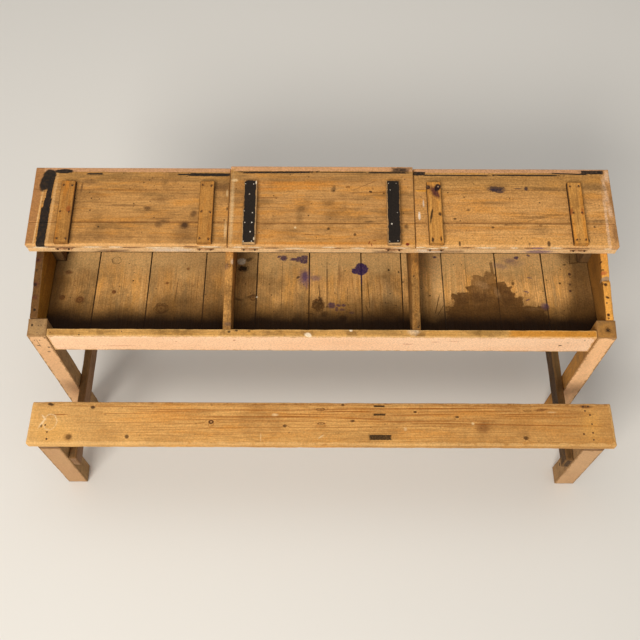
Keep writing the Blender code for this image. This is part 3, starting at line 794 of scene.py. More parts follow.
finishes["lidRight"] = dict(
    lidFinish, lid="lid_right", early=(212, 156, 90), bandColour=(226, 170, 102), warm=0.5, dirt=0.3,
    smear=0.4, smearColour=(164, 112, 58), dirtColour=(146, 100, 50), ringContrast=0.55, fibreContrast=0.5,
    mottle=0.3, fades=[(1, 0.16, 0.235, (152, 114, 58), 0.38), (1, 0.05, 0, (224, 164, 90), 0.6)],
    knots=knotsAt(slab, 20, [(670, 75, 5, 4), (563.6, 78.4, 4, 3)]),
    marks=[
        flat(backEdgePink, 12.5, 30, 0.6, 0.05, [(596, 272.5, 310, 9.5, 0.95)], **backEdgePaint),
        flat(hingeSideTan, slab, 12, 0.7, 0.2, [(595.5, 2, 320, 6.2, 0.9)], **hingeSideWear),
        *hingeEdge(
            pale=(
                (300, 15), (337, 20), (372, 12), (500, 30), (585, 12), (710, 20),
                (880, 20)),
            bare=((440, 20), (630, 15), (772, 45)), inked=((655, 22),)),
        flat((192, 140, 88), 12.5, 30, 0.9, 0.08, [
            (893.5, 130, 12.5, 160, 0.8)], shape="stripe", patchy=0.5, patchScale=60, rough=0.8),
        flat((104, 70, 40), slab, 12, 1.3, 0.6, [
            (895, 50, 7, 30, 0.6), (897, 150, 6, 40, 0.5)], patchy=0.4, raggedScale=60),
        flat((222, 184, 148), slab, 8, 2.2, 0.6, [
            (874, 85, 4.2, 85, 0.8, 0.8), (883, 200, 5, 40, 0.7, -4), (894, 250, 7, 18, 0.8, 12, 1.8, 0.5),
            (889, 125, 6, 20, 0.6, 0, 2)], shape="stripe", patchy=0.75, patchScale=120, raggedScale=60),
        flat(seamBrown, slab, 12, 1.3, 0.3, [
            (577, 83.3, 270, 2.6, 0.7), (575, 200, 260, 1.8, 0.5, 0, 1.3, 0.4),
            (657, 96.5, 28, 1.4, 0.7, -14, 0.8)], **seamStain),
        flat(tar, slab, 12, 0.8, 0.1, [
            (305, 259.5, 18, 7, 1), (420, 253.5, 110, 2.4, 1, 0.2, 1.1, 0.15),
            (640, 254.5, 105, 2.8, 1, 0.2, 1.1, 0.15), (848, 266.2, 35, 6.6, 1),
            (780, 260, 55, 2.4, 1, 2.2, 1, 0.2)], **dict(tarLayer, patchy=0.2)),
        flat((46, 36, 46), slab, 10, 1.6, 0.3, [
            (544, 204, 26.5, 10, 1), (553, 194, 14, 4.4, 0.9, 0, 1.5), (612, 206, 12, 2.2, 0.8, 0, 1.3, 0.4),
            (636.6, 206, 5.5, 6.5, 0.95, 20, 1.2, 0.35)], patchy=0.25, patchScale=120, raggedScale=120),
        flat((100, 72, 40), slab, 10, 1.4, 0.8, [
            (545, 216, 30, 12, 0.45), (700, 205, 55, 6, 0.7, 2, 1.4, 0.7),
            (852.3, 212.1, 42, 11, 0.65, 2, 1.2, 0.7), (850, 90, 45, 5, 0.5, 0, 1.3, 0.7),
            (655, 103.8, 45, 4, 0.6, -4, 1.4, 0.7), (720, 112, 40, 3, 0.5, 0, 1.4, 0.7),
            (670, 60, 24, 16, 0.45), (521, 154, 50, 5, 0.5), (450.4, 128.3, 6, 3.5, 0.8, 0, 1.2, 0.5),
            (440, 240, 130, 10, 0.4)], patchy=0.35, raggedScale=70),
        flat((58, 38, 22), slab, 10, 0.9, 0.4, [
            (418.1, 12, 3, 8.5, 0.85), (688.6, 12.1, 5.2, 10, 0.85), (629.9, 11.9, 3.5, 5, 0.6),
            (408.8, 97.8, 4.4, 3.4, 0.8, 0, 0.6), (523.3, 68.2, 4.8, 3.4, 0.75, 0, 0.6),
            (809.7, 24.9, 4, 6, 0.8, 0, 0.8), (834, 71, 3.5, 3.5, 0.7, 0, 0.8)]),
        flat(whitePaint, slab, 10, 0.6, 0.45, [(299.5, 107, 3.4, 13, 1), (314, 152, 2.4, 12, 0.7, 0, 0.9)]),
        flat((224, 154, 50), slab, 10, 1.2, 0.4, [(312, 196.9, 22, 2.4, 0.9)])])

finishes["battenPine"] = dict(
    slot="batten_pine", lid="lid_left", early=(184, 130, 64), late=(142, 90, 36), ringContrast=0.6,
    ringWidth=0.0034, fibreColour=(130, 84, 36), fibreContrast=0.5, bandColour=(196, 140, 70),
    bandContrast=0.6, warmColour=(196, 120, 36), warm=0.6, smear=0.5, smearColour=(122, 80, 38),
    dirtColour=(112, 72, 32), dirt=0.4, dirtScale=14, wander=0.006, mottle=0.22, edgeColour=(110, 70, 30),
    edge=0.5, edgeWidth=0.0014, edgeBroken=0.8,
    # the dark coat on the side faces and the back end is painted shade
    paint=dict(
        faces=[(1, 0, 0), (-1, 0, 0), (0, 1, 0)], colour=(64, 42, 22), shade=(44, 28, 14), strokes=0.2,
        strokeColour=(96, 62, 30), grime=0.3, grimeColour=(40, 26, 14), wornEdge=0.001, rubbed=0.4,
        flaked=0.22, flakeScale=60, roughness=0.8),
    marks=[
        flat(ironStain, battenTop, 10, 0.5, 0.4,
             battenHalos((*sideBattens["left"], sideBattens["right"][1]))),
        flat((140, 66, 24), battenTop, 10, 1, 0.5, [
            (-779, 121, 7, 11, 0.7, 10), (765, 117, 4, 12, 0.7, 10), (798, 117, 4, 12, 0.7)], patchy=0.3),
        flat(nailHoleAndShadowDark, battenTop, 10, 0.9, 0.4, [
            (334.5, 100, 3.4, 26, 0.9, 10, 1), (361.2, 106, 5, 6, 0.85), (334.5, 17, 3.8, 8, 0.9),
            (360, 20, 2.6, 8, 0.85)]),
        flat((66, 26, 34), battenTop, 10, 1, 0.5, [(349, 183, 9.5, 24, 0.95, -30)], patchy=0.25),
        flat((26, 14, 20), battenTop, 10, 0.7, 0.25, [
            (358, 200, 9.5, 13.5, 1, 20), (328, 201, 6.8, 7.8, 0.95, 0, 0.5, 0.3)], patchy=0.1),
        flat((196, 158, 120), battenTop, 10, 0.5, 0.3, [
            (327.2, 203, 2.6, 2.6, 0.9), (360, 203, 2.6, 2.8, 0.6, 0, 0.5, 0.4)])])

# the right lid's battens keep the same painted shade on their side faces
finishes["battenRight"] = dict(
    finishes["battenPine"], early=(214, 154, 78), late=(168, 108, 42), bandColour=(224, 164, 84),
    fibreColour=(156, 102, 44), warmColour=(220, 140, 46), dirt=0.3)

finishes["battenBlack"] = dict(
    slot="black_paint", lid="lid_centre", early=(196, 148, 90), late=(160, 110, 58), wander=0.006,
    edgeColour=(120, 84, 46), edge=0.3, mottle=0.3,
    paint=dict(
        faces=[(0, 0, 1), (1, 0, 0), (-1, 0, 0), (0, 1, 0), (0, -1, 0)], colour=(34, 27, 21),
        shade=(24, 19, 15), strokes=0.2, strokeColour=(58, 48, 36), grime=0.25, grimeColour=(52, 42, 32),
        wornEdge=0.0018, rubbed=0.8, flaked=0.23, flakeScale=90, roughness=0.75),
    marks=[
        deep((202, 162, 112), 1.4, 0.4, [
            (-202.5, 112, 36, 1.6, 106, 10, 0.8), (-222, 5.8, 36, 18, 1.8, 10, 0.9, 0, 1.2),
            (-241.5, 60, 37.8, 1, 50, 10, 0.6), (199.5, 112, 37.8, 1, 106, 10, 0.6),
            (219, 5.8, 36, 18, 1.8, 10, 0.9, 0, 1.2)], shape="stripe", patchy=0.55),
        flat((226, 206, 176), battenTop, 10, 0.6, 0.3, [
            (-204.5, 211, 2.2, 6, 0.9), (-206.5, 20, 2, 5, 0.7, 0, 0.8)])])

finishes["seatPine"] = dict(
    slot="seat_pine", early=(224, 173, 101), late=(150, 92, 34), ringContrast=0.95, ringWidth=0.0052,
    wander=0.016, taper=0.012, fibreColour=(164, 108, 48), fibreContrast=0.65, bandColour=(230, 178, 106),
    bandContrast=0.5, warmColour=(210, 138, 52), warm=0.4, smearColour=(160, 118, 64), smear=0.4, mottle=0.2,
    dirtColour=(146, 104, 56), dirt=0.42, dirtScale=6, speckScale=110, specks=0.35, scratches=0.25,
    # pale edges: wear, with a painted highlight along the rounded front edge
    scratchColour=(128, 82, 36), edgeColour=(224, 178, 114), edge=0.45, edgeWidth=0.003, edgeBroken=0.95,
    roughness=0.62,
    fades=[
        (0, 0.25, 0.9, (176, 126, 68), 0.5), (0, -0.35, -0.9, (230, 182, 112), 0.45),
        # the last is painted shade along the seat's back edge
        (1, -0.272, -0.256, (150, 102, 50), 0.75)],
    knots=knotsAt(seatLevel, 30, [
        (-345, -323, 8, 7, 16), (-2, -279, 16, 5, 12), (-1, -327, 12, 4.5, 10), (-785, -374, 8, 7, 8),
        (-604, -372, 6, 6, 8), (637, -372, 7.5, 6.5, 10), (-722, -276, 6, 4.5, 8), (-680, -299, 3.5, 3, 4),
        (-113, -335, 5.5, 5, 6), (295, -287, 5, 3.5, 6), (426, -303, 6, 3.5, 8), (648, -282, 14, 4, 10),
        (68, -264, 5, 4, 6)]),
    marks=[
        flat((112, 68, 34), seatLevel, 12, 0.9, 0.6, [
            (504, -338, 20, 17, 0.6), (692, -279, 22, 4, 0.7, -6, 0.8, 0.5),
            (97, -318, 8, 4, 0.7, 0, 0.6, 0.5), (835, -267, 18, 5.5, 0.9, 0, 0.9, 0.4),
            (-785, -374, 13, 12, 0.6)]),
        flat((40, 27, 14), seatLevel, 12, 0.7, 0.15, [
            (182, -267.8, 16.5, 3.4, 0.95), (182.5, -296, 18, 3.6, 0.95),
            (183.5, -371.5, 33.5, 8.5, 0.97, 0, 0.4, 0.12)], shape="stripe", patchy=0.3, patchScale=260),
        flat((146, 84, 28), seatLevel, 12, 0.9, 0.4, [
            (-675, -271, 140, 1.4, 0.7, 0.2), (-300, -282.5, 262, 1.54, 0.8),
            (-470, -289, 90, 1.4, 0.7, 0.4), (-595, -295, 75, 1.26, 0.7, -0.5),
            (-180, -305, 205, 1.96, 0.9, -0.3), (-285, -315.5, 185, 1.4, 0.6, 0.6),
            (-595, -326, 185, 1.12, 0.5), (-825, -300, 28, 1.96, 0.8, -2), (270, -276, 280, 1.82, 0.9, -0.6),
            (80, -286, 85, 1.96, 0.9, 0.4), (315, -297, 105, 1.68, 0.8, -1.2),
            (125, -310, 70, 2.8, 0.8, 1.6), (370, -318, 175, 1.54, 0.8, -0.8),
            (560, -328, 290, 1.68, 0.8, 0.8), (670, -293, 125, 1.68, 0.8, -1),
            (670, -301, 110, 1.4, 0.6, 0.6), (470, -335, 130, 1.26, 0.5, 0.3),
            (-50, -296, 120, 1.4, 0.7, 0.5), (450, -285, 150, 1.4, 0.7, -0.8),
            (-420, -342, 250, 0.98, 0.4, 0.2), (150, -348, 300, 0.98, 0.4, -0.2), (-60, -264, 200, 1.4, 0.6),
            (560, -266, 200, 1.4, 0.6, -0.2), (-450, -358, 300, 0.84, 0.35)],
            shape="stripe", raggedScale=14, patchy=0.45, patchScale=30),
        flat((84, 48, 20), seatLevel, 12, 0.6, 0.3, [(-345, -323, 7.8, 6.6, 0.9)]),
        flat((186, 140, 86), seatLevel, 12, 0.6, 0.4, [(-345, -322.5, 3, 2.6, 0.9)]),
        flat(nailHoleAndShadowDark, seatLevel, 12, 0.6, 0.4, [
            (-855, -265, 8, 4.5, 0.8, 20), (474, -326, 2, 2, 0.2, 0, 0.3)]),
        flat((236, 208, 164), seatLevel, 12, 0.9, 0.5, [
            (-873, -328, 3, 17, 1, 30), (-869, -311, 2.6, 12, 0.9, -40)], patchy=0.6, patchScale=320),
        flat((226, 192, 142), seatLevel, 12, 0.4, 0.12, [
            (-848, -325, 21.5, 27, 0)], tide=0.9, patchy=0.3, patchScale=140, raggedScale=70),
        flat((70, 44, 22), seatLevel, 12, 0.9, 0.4, [
            (-721.2, -275, 7.5, 5, 0.9, 12), (-854.8, -266.5, 10, 4.2, 0.7, 12, 1),
            (-874, -338, 3.5, 5.5, 0.8), (-784, -373.2, 9, 7.8, 0.8, 0, 1.1),
            (-603.1, -372.4, 6.2, 5.6, 0.75, 0, 1), (-115.5, -335, 5, 4.8, 0.75),
            (633.8, -371.6, 6.8, 5.8, 0.8, 0, 1), (67.9, -263, 5, 3.4, 0.8, 0, 1),
            (295.3, -286.8, 4.6, 3.4, 0.8), (426.1, -303.5, 4.8, 3.2, 0.8), (98.5, -317.3, 5, 3, 0.7)]),
        flat(paleWood, seatLevel, 12, 0.8, 0.5, [
            (-146, -298, 10, 4.5, 0.7, 0, 0.8, 0.4), (474, -325, 4.2, 4.2, 0.9, 0, 0.6, 0.4),
            (-1, -370, 10, 2.2, 0.8, -35), (-188, -372, 1.4, 13, 0.6), (262, -344, 5, 6, 0.6, 0, 0.9),
            (725, -286, 12, 2, 0.6, 0, 0.9)]),
        flat((228, 168, 82), seatLevel, 12, 1, 0.8, [(842, -325, 28, 45, 0.35), (-835, -360, 50, 30, 0.3)])])

finishes["boxFloor"] = dict(
    slot="floor_pine", early=(196, 146, 84), late=(144, 98, 50), ringContrast=0.8, ringWidth=0.0044,
    wander=0.012, fibreColour=(134, 96, 50), fibreContrast=0.55, bandColour=(212, 162, 98), bandContrast=0.6,
    warmColour=(198, 138, 58), warm=0.4, smearColour=(130, 108, 72), smear=0.5, dirtColour=(114, 88, 52),
    dirt=0.55, dirtScale=11, speckScale=120, specks=0.9, mottle=0.25, edgeColour=(38, 24, 12), edge=0.9,
    edgeWidth=0.001, edgeBroken=0.3, toneSpread=0.5, roughness=0.75,
    # painted light: lighter towards the back, where the lids and the shelf shade the floor
    fades=[(1, 0.085, 0.185, (236, 192, 126), 0.75)],
    # painted shade by both side boards with some dirt, and darker towards the front: the painted shadow of
    # the front rail, with dirt in the front corner
    lateFades=[
        (0, 0.75, 0.81, (92, 64, 32), 0.85), (0, -0.775, -0.84, (76, 52, 24), 0.6),
        (1, 0.065, -0.03, (80, 52, 18), 0.78), (1, -0.006, -0.06, (26, 10, 0), 0.95)],
    knots=knotsAt(floorLevel, 30, [
        (-665, 165, 11, 10), (-762, 21, 12, 11), (-818, 29, 9, 8), (-503, -10, 18, 16), (-217, 31, 10, 10),
        (-657, 50, 6, 6), (-11, 5, 18, 22)]),
    marks=[
        # painted shade beside the left divider and the left side board, with some dirt
        flat((96, 62, 26), floorLevel, 12, 0.3, 0.25, [
            (-240, 40, 30, 200, 0.36), (-840, 40, 20, 200, 0.5, 0, 0.4, 0.9)],
            shape="stripe", patchy=0.3, patchScale=20),
        flat((92, 58, 25), floorLevel, 12, 0.5, 0.03, [  # a spill shaped like a mountain
            (548.5, -55, 157.5, 58, 0.9, 0, 0.45), (521, -30, 113, 70, 0.9, 3), (522, 22, 86, 40, 0.88, -8),
            (526, 50, 64, 34, 0.85, -10, 0.5, 0.04), (516, 88, 40, 22, 0.65, 14, 0.6, 0.06),
            (535, 112, 17, 15, 0.65, 22, 0.6, 0.08), (545, 138, 4.8, 28, 0.7, -4, 0.8, 0.15)],
            shape="stripe", raggedScale=60, patchy=0.25, patchScale=50),
        flat((76, 48, 22), floorLevel, 12, 1.2, 0.4, [
            (550, -40, 150, 50, 0.75, 0, 0.9, 0.3), (440, 20, 20, 34, 0.6), (583, 30, 26, 50, 0.75, -24),
            (500, 30, 40, 20, 0.5, 0, 1.4, 0.5)], raggedScale=60, patchy=0.7, patchScale=60),
        flat((178, 136, 88), floorLevel, 12, 1.2, 0.5, [
            (510, 80, 22, 12, 0.5, 20), (555, 50, 8, 24, 0.4, -20), (660, -8, 20, 6, 0.4, 0, 1.4)],
            raggedScale=90, patchy=0.6, patchScale=70),
        # painted light over the shadow that the right divider casts on the board beside it
        flat((250, 206, 144), floorLevel, 12, 0.4, 0.7, [
            (366, 80, 17, 110, 0.4)], shape="stripe", patchy=0.2, patchScale=30),
        # painted shade in the left compartment near the divider
        flat((112, 80, 44), floorLevel, 12, 0.9, 0.9, [
            (-425, 10, 90, 45, 0.5), (-360, 165, 80, 45, 0.35)], patchy=0.2, patchScale=30),
        flat((98, 84, 64), floorLevel, 12, 0.9, 0.8, [
            (300, 30, 16, 100, 0.35), (196, 50, 28, 50, 0.25, 20)],
            raggedScale=60, patchy=0.5, patchScale=60),
        # painted shadow in the front corners by the rail, with some dirt
        flat((18, 10, 4), floorLevel, 12, 0.6, 0.8, [
            (215, -55, 60, 60, 0.85), (815, -45, 60, 65, 0.95), (-335, -60, 40, 50, 0.7),
            (-820, -70, 50, 50, 0.8)]),
        flat((104, 58, 28), floorLevel, 12, 0.8, 0.4, [
            (-809, 121, 11, 8, 0.8, 0, 1, 0.5), (-818, 29, 11, 9, 0.6, 0, 1, 0.5),
            (-762, 21, 14, 12, 0.6, 0, 1, 0.6), (-492, 83, 5, 5, 0.8), (-657, 50, 6, 6, 0.8),
            (-429, 136, 5, 5, 0.7), (57, 115, 6, 35, 0.5, 0, 1.3, 0.7)], patchy=0.4, raggedScale=90),
        flat((40, 22, 8), floorLevel, 12, 1.6, 0.25, [
            (-11, 5, 15, 18, 1), (-4, 24, 6, 9, 0.9, 0, 1.8, 0.3)],
            patchy=0.85, patchScale=130, raggedScale=150),
        flat((70, 48, 28), floorLevel, 12, 1.4, 0.5, [
            (-460, 52, 2, 36, 0.7, 3, 0.9), (17, 70, 2.6, 90, 0.6), (-127, 70, 1.2, 85, 0.6, 0, 1, 0.4),
            (-7, 50, 2, 28, 0.8, -6, 0.9), (-262, 24, 14, 4, 0.7, 20), (-225, 34, 14, 4, 0.7, -12),
            (81, 55, 1.4, 12, 0.8, 0, 1.2, 0.4), (81, 29, 1.4, 10, 0.8, 0, 1.2, 0.4)],
            shape="stripe", patchy=0.5, patchScale=120),
        flat((60, 36, 18), floorLevel, 12, 0.8, 0.2, [
            (-11, 5, 20, 24, 0, 0, 0.9), (-662, 167, 15, 14, 0, 0, 0.7), (-503, -10, 22, 20, 0),
            (-217, 31, 12, 12, 0)], tide=0.75, raggedScale=120),
        flat((26, 17, 10), floorLevel, 12, 0.9, 0.3, [
            (-86, -54, 8.5, 12, 0.9), (66, -42, 12.5, 12, 0.9, 0, 0.7, 0.4),
            (8, -28, 11, 10, 0.8, 0, 1.5, 0.6), (-36, -26, 13, 2.2, 0.85, 8, 1.2, 0.4),
            (-253, 137, 17, 10, 0.95, 0, 2.2, 0.5), (-236, 172, 12, 6, 0.7, -20, 1.8, 0.6),
            (214, 134, 3.6, 4, 0.9, 0, 0.5), (246, 127, 3, 4, 0.8, 0, 0.5),
            (-75, 106, 7, 4, 0.8, -30, 1.4, 0.4), (757, 87, 4, 4, 0.8), (780, 156, 5, 3, 0.8, 0, 1.2),
            (607, 86, 5, 6, 0.7, 0, 1.2, 0.4)], raggedScale=150, patchy=0.2),
        flat((250, 236, 206), floorLevel, 12, 1.1, 0.3, [
            (-259, 164, 13, 12, 1), (-205, 33, 3, 3, 0.7, 0, 0.6, 0.4)],
            patchy=0.3, patchScale=180, raggedScale=150),
        flat((30, 19, 10), floorLevel, 12, 1.6, 0.3, [
            (461, 50, 0.8, 160, 0.6, 0, 1.4), (363, 10, 1.1, 34, 0.9, 14), (372, -12, 1.1, 18, 0.9, 30),
            (148, 45, 1, 45, 0.85, -3), (143, -12, 1, 20, 0.85, -20), (800, 176, 1.4, 18, 0.9, 6, 1.2, 0.4),
            (812, 163, 12, 2, 0.9, -6, 1.2, 0.4)], shape="stripe", raggedScale=90),
        flat(ink, floorLevel, 12, 1.7, 0.35, [
            (-124, 177, 11.5, 9.5, 0.9, 0, 1.5, 0.3), (-138, 183, 7, 4, 0.85, -20, 1.4, 0.3),
            (-54, 108, 9.5, 20, 0.8, 0, 1.5, 0.6), (-47.5, 78, 3, 18, 0.5, 0, 1.2, 0.6),
            (127, 137, 21.5, 22.5, 1, 0, 0.6, 0.08), (106, 130, 10.5, 11, 1, 0, 0.9, 0.1),
            (126, 104, 2.2, 26, 0.85, 0, 0.6, 0.3), (31, 4, 12, 11, 0.9, 0, 1.5, 0.3),
            (52, 4, 8, 5, 0.85, 12), (68, 4, 7, 5, 0.85), (47, -9, 5, 8, 0.8), (64, -11, 9, 4.5, 0.8),
            (628, 182, 7.5, 6, 0.9, 0, 1.2, 0.3), (606, 171, 14, 7, 0.4, -8, 1.8, 0.6),
            (668, 191, 6, 3.5, 0.8, 20, 1.3, 0.3), (662, 107, 9, 2.2, 0.6, 8, 1.2, 0.4),
            (646, 56, 8.5, 2.2, 0.85, 18, 1.4, 0.4), (648, 26, 6, 2.6, 0.85, -24, 1.4, 0.4),
            (705, 4, 6, 8, 0.8, 0, 1.3, 0.3), (364, 183, 6, 4, 0.9, 0, 1.2, 0.4)],
            patchy=0.25, patchScale=220, raggedScale=130),
        flat((58, 24, 44), floorLevel, 12, 1.1, 0.3, [
            (792, 121, 4.4, 5, 0.95), (788.5, 83, 4, 4.2, 0.85, 0, 0.8), (786.5, 59, 4.4, 4.6, 0.95, 0, 0.8),
            (792, 109, 5, 1.6, 0.7, 30)]),
        flat(ink, floorLevel, 12, 1, 0.15, [
            (-73.5, 172.5, 27, 5.2, 0.92, 3), (-64, 173, 17.5, 10, 0.92, 4, 0.9, 0.12),
            (-57, 172.5, 10.5, 15, 0.92, 4, 0.7, 0.1)],
            shape="stripe", patchy=0.45, patchScale=300, raggedScale=150),
        flat(inkFaint, floorLevel, 12, 1.4, 0.7, [
            (-22, 103, 16, 9, 0.6), (-53, 105, 17, 28, 0.65, 0, 1.3), (575, 150, 24, 10, 0.4, 14, 1.4, 0.6),
            (612, 166, 34, 14, 0.3, 14), (94, -22, 8, 4, 0.8, 0, 1, 0.4), (700, 3, 12, 12, 0.8, 0, 1, 0.5)],
            patchy=0.5, patchScale=120)])

finishes["divider"] = dict(
    slot="floor_pine", early=(186, 138, 76), late=(140, 92, 42), ringContrast=0.75, ringWidth=0.0036,
    wander=0.006, fibreColour=(130, 86, 38), dirtColour=(104, 72, 36), dirt=0.65, dirtScale=26, specks=1,
    mottle=0.32, edgeColour=(120, 80, 38), edge=0.35, edgeWidth=0.0022, toneSpread=0.5,
    # painted shade: darker towards the box floor
    fades=[(2, 0.68, 0.588, (58, 36, 14), 0.55)],
    knots=[((-0.2845, 0.083, 0.694), (0.0055, 0.006, 0.006)), ((0.287, 0.165, 0.7), (0.004, 0.008, 0.006))],
    marks=[
        flat((206, 178, 150), 697, 8, 0.8, 0.4, [(-274, 96, 6, 8, 0.8)], patchy=0.4),
        deep((98, 74, 60), 0.9, 0.5, [
            (-293, 80, 694, 6, 10, 8, 0.7), (-281, -100, 658, 12, 6, 8, 0.6)], patchy=0.3),
        flat(nailHoleAndShadowDark, 656, 6, 0.4, 0.3, [(290, -107, 3, 3, 0.8)]),
        deep((96, 60, 26), 0.8, 0.5, [  # a row of pricked dots along the top
            (284.5, 70 - 8.5 * step, 692.5 - 1.73 * step, 1.6, 2.6, 8, 0.6) for step in range(20)])])

boardInside = dict(  # the darker, greyer inner face of a side board
    faces=[(1, 0, 0)], colour=(164, 114, 42), shade=(128, 86, 28), strokes=0.5, strokeColour=(190, 128, 54),
    grime=0.4, grimeColour=(62, 40, 16), wornEdge=0.002, rubbed=0.4, flaked=0.12, flakeScale=40,
    roughness=0.8)

finishes["sideLeft"] = dict(
    slot="side_pine", early=(108, 74, 38), late=(70, 45, 22), ringContrast=0.65, ringWidth=0.004,
    fibreColour=(68, 44, 22), bandColour=(118, 80, 42), dirtColour=(58, 38, 22), warmColour=(120, 78, 36),
    smearColour=(80, 56, 34), dirt=0.5, dirtScale=13, edgeColour=(132, 96, 58), edge=0.2, edgeWidth=0.002,
    mottle=0.3, paint=boardInside,
    marks=[
        deep((88, 48, 32), 0.9, 0.5, [
            (-872.2, 99.3, 700, 9, 8, 12, 0.8), (-872.5, 21.3, 683, 9, 9, 12, 0.8),
            (-870.5, -19.5, 674, 8, 7, 12, 0.8)], patchy=0.4, raggedScale=150),
        deep(nailHoleAndShadowDark, 1, 0.3, [
            (-872.2, 99.3, 700, 4, 4, 8, 0.7), (-873.3, 67, 692, 4, 4.5, 8, 0.6),
            (-873.1, 21.3, 683, 4.8, 4.8, 8, 0.9), (-867.2, -57.6, 667, 4.2, 4.2, 8, 0.95, 0, 0.4)],
            raggedScale=200)])

finishes["sideRight"] = dict(
    slot="side_pine", early=(248, 177, 82), late=(198, 127, 48), ringContrast=0.55, ringWidth=0.004,
    fibreColour=(186, 126, 54), bandColour=(240, 174, 84), dirtColour=(166, 110, 50),
    warmColour=(222, 142, 48), smearColour=(150, 106, 54), smear=0.35, dirt=0.15, dirtScale=13,
    edgeColour=(150, 98, 42), edge=0.2, edgeWidth=0.002,
    paint=dict(
        boardInside, faces=[(-1, 0, 0)], colour=(154, 106, 46), shade=(122, 82, 34),
        strokeColour=(168, 112, 44), grimeColour=(84, 60, 28)),
    marks=[
        flat((150, 128, 104), 688, 30, 0.6, 0.25, [
            (866, 47.5, 16, 6.5, 0.9, -10)], patchy=0.3, patchScale=200),
        flat((176, 92, 48), 692, 12, 1.2, 0.5, [(861.9, 64.2, 11, 6, 0.8, -10)], raggedScale=150),
        deep((64, 34, 16), 1.2, 0.3, [
            (854.5, 109, 700, 3, 5.5, 12, 0.95), (856.5, 99.2, 698, 4.5, 3.5, 12, 0.95),
            (859.1, 73.9, 694, 5, 3, 12, 0.8, 0, 1.4, 0.4), (864, 27.4, 684, 5.2, 4.8, 12, 0.95),
            (857, 30, 684, 4, 2.5, 12, 0.7, 0, 1.2, 0.4),
            (865.8, -12.8, 675, 5.6, 3.6, 12, 0.9, 20, 1.3, 0.4),
            (862.4, -29.9, 672, 2.2, 2.2, 12, 0.9, 0, 0.6, 0.4), (864, -67.7, 664, 4.6, 4.2, 12, 0.95),
            (863.4, -77.5, 662, 3.4, 3, 12, 0.8)], raggedScale=220),
        flat((52, 32, 16), 687, 20, 0.6, 0.3, [(866, 40.5, 14, 1, 0.8, -10)], shape="stripe")])

railPaint = dict(  # the pink coat, which the posts and the shelf have too
    faces=[(0, -1, 0)], colour=(246, 206, 168), shade=(240, 195, 154), strokes=0.22,
    strokeColour=(226, 174, 132), grime=0.12, grimeColour=(204, 154, 112), wornEdge=0.0035, rubbed=0.75,
    flaked=0.2, flakeScale=26, roughness=0.6)

finishes["rail"] = dict(
    slot="pink_paint", early=(206, 157, 88), late=(160, 110, 52), ringContrast=0.65, ringWidth=0.0036,
    wander=0.008, fibreColour=(154, 108, 54), bandColour=(214, 160, 88), warmColour=(206, 146, 62),
    dirtColour=(112, 78, 38), dirt=0.6, dirtScale=22, specks=0.9, edgeColour=(226, 182, 116), edge=0.4,
    edgeWidth=0.0024, edgeScale=70,
    fades=[(0, 0.555, 0.575, (198, 130, 42), 0.8), (0, -0.7, -0.8, (164, 120, 66), 0.5)], paint=railPaint,
    marks=[
        flat((128, 96, 48), 653, 8, 1, 0.4, [
            (500, -122, 55, 10, 0.6), (180, -122, 60, 8, 0.5, 0, 1.2, 0.5),
            (-470, -122, 90, 8, 0.4, 0, 1.2, 0.6)], patchy=0.5, patchScale=60),
        deep(nailHoleAndShadowDark, 1, 0.4, [
            (-277.7, -123, 653, 4.5, 3.5, 6, 0.8), (-255.9, -119.5, 653, 4.2, 3, 6, 0.8),
            (-217.9, -120.8, 653, 4.5, 3, 6, 0.7), (726, -137.8, 597, 5, 10, 4, 0.9, 0, 0.8, 0.3),
            (745, -137.8, 615, 2.6, 10, 2.2, 0.8, 0, 0.4, 0.3),
            (792, -137.8, 630, 3, 10, 3, 0.6, 0, 0.4, 0.3)], raggedScale=180),
        deep((150, 84, 56), 0.6, 0.4, [
            (-264, -137.8, 625, 4, 10, 3, 0.8), (-440, -137.8, 616, 3, 10, 3, 0.5)]),
        deep((190, 130, 98), 1.5, 0.5, [
            (262, -137.8, 603, 16, 10, 2.8, 0.9), (345, -137.8, 617, 12, 10, 2.4, 0.7),
            (400, -137.8, 621, 18, 10, 2.4, 0.7), (-620, -137.8, 585, 50, 10, 3.4, 0.5, 0, 1.5, 0.6)],
            patchy=0.6, patchScale=300, raggedScale=200),
        deep((246, 226, 196), 0.8, 0.4, [
            (87.7, -117.5, 654, 4.8, 3.4, 6, 1), (-40.1, -133, 651, 10, 7, 6, 0.9, 20, 1),
            (275.4, -121.3, 654, 16, 10, 6, 0.35, 0, 1.5, 0.6)], patchy=0.3, patchScale=200)])

postPaint = dict(
    railPaint, faces=[(0, -1, 0), (1, 0, 0), (-1, 0, 0), (0, 1, 0)], colour=(228, 184, 136),
    shade=(218, 170, 122), flaked=0.22, flakeScale=34, grime=0.35, grimeColour=(186, 140, 96),
    wornEdge=0.0035, rubbed=0.8)
leftPostFaces, rightPostFaces = [(0, -1, 0), (-1, 0, 0), (0, 1, 0)], [(0, -1, 0), (1, 0, 0), (0, 1, 0)]
plainPost = dict(
    slot="pink_paint", early=(164, 130, 84), late=(124, 94, 56), ringContrast=0.45, ringWidth=0.0034,
    wander=0.008, fibreColour=(118, 92, 60), fibreContrast=0.4, bandColour=(174, 140, 92),
    warmColour=(176, 134, 80), dirtColour=(108, 84, 56), dirt=0.5, dirtScale=22, speckScale=190, mottle=0.14,
    edgeColour=(132, 96, 58), edge=0.5, edgeWidth=0.004, paint=postPaint)

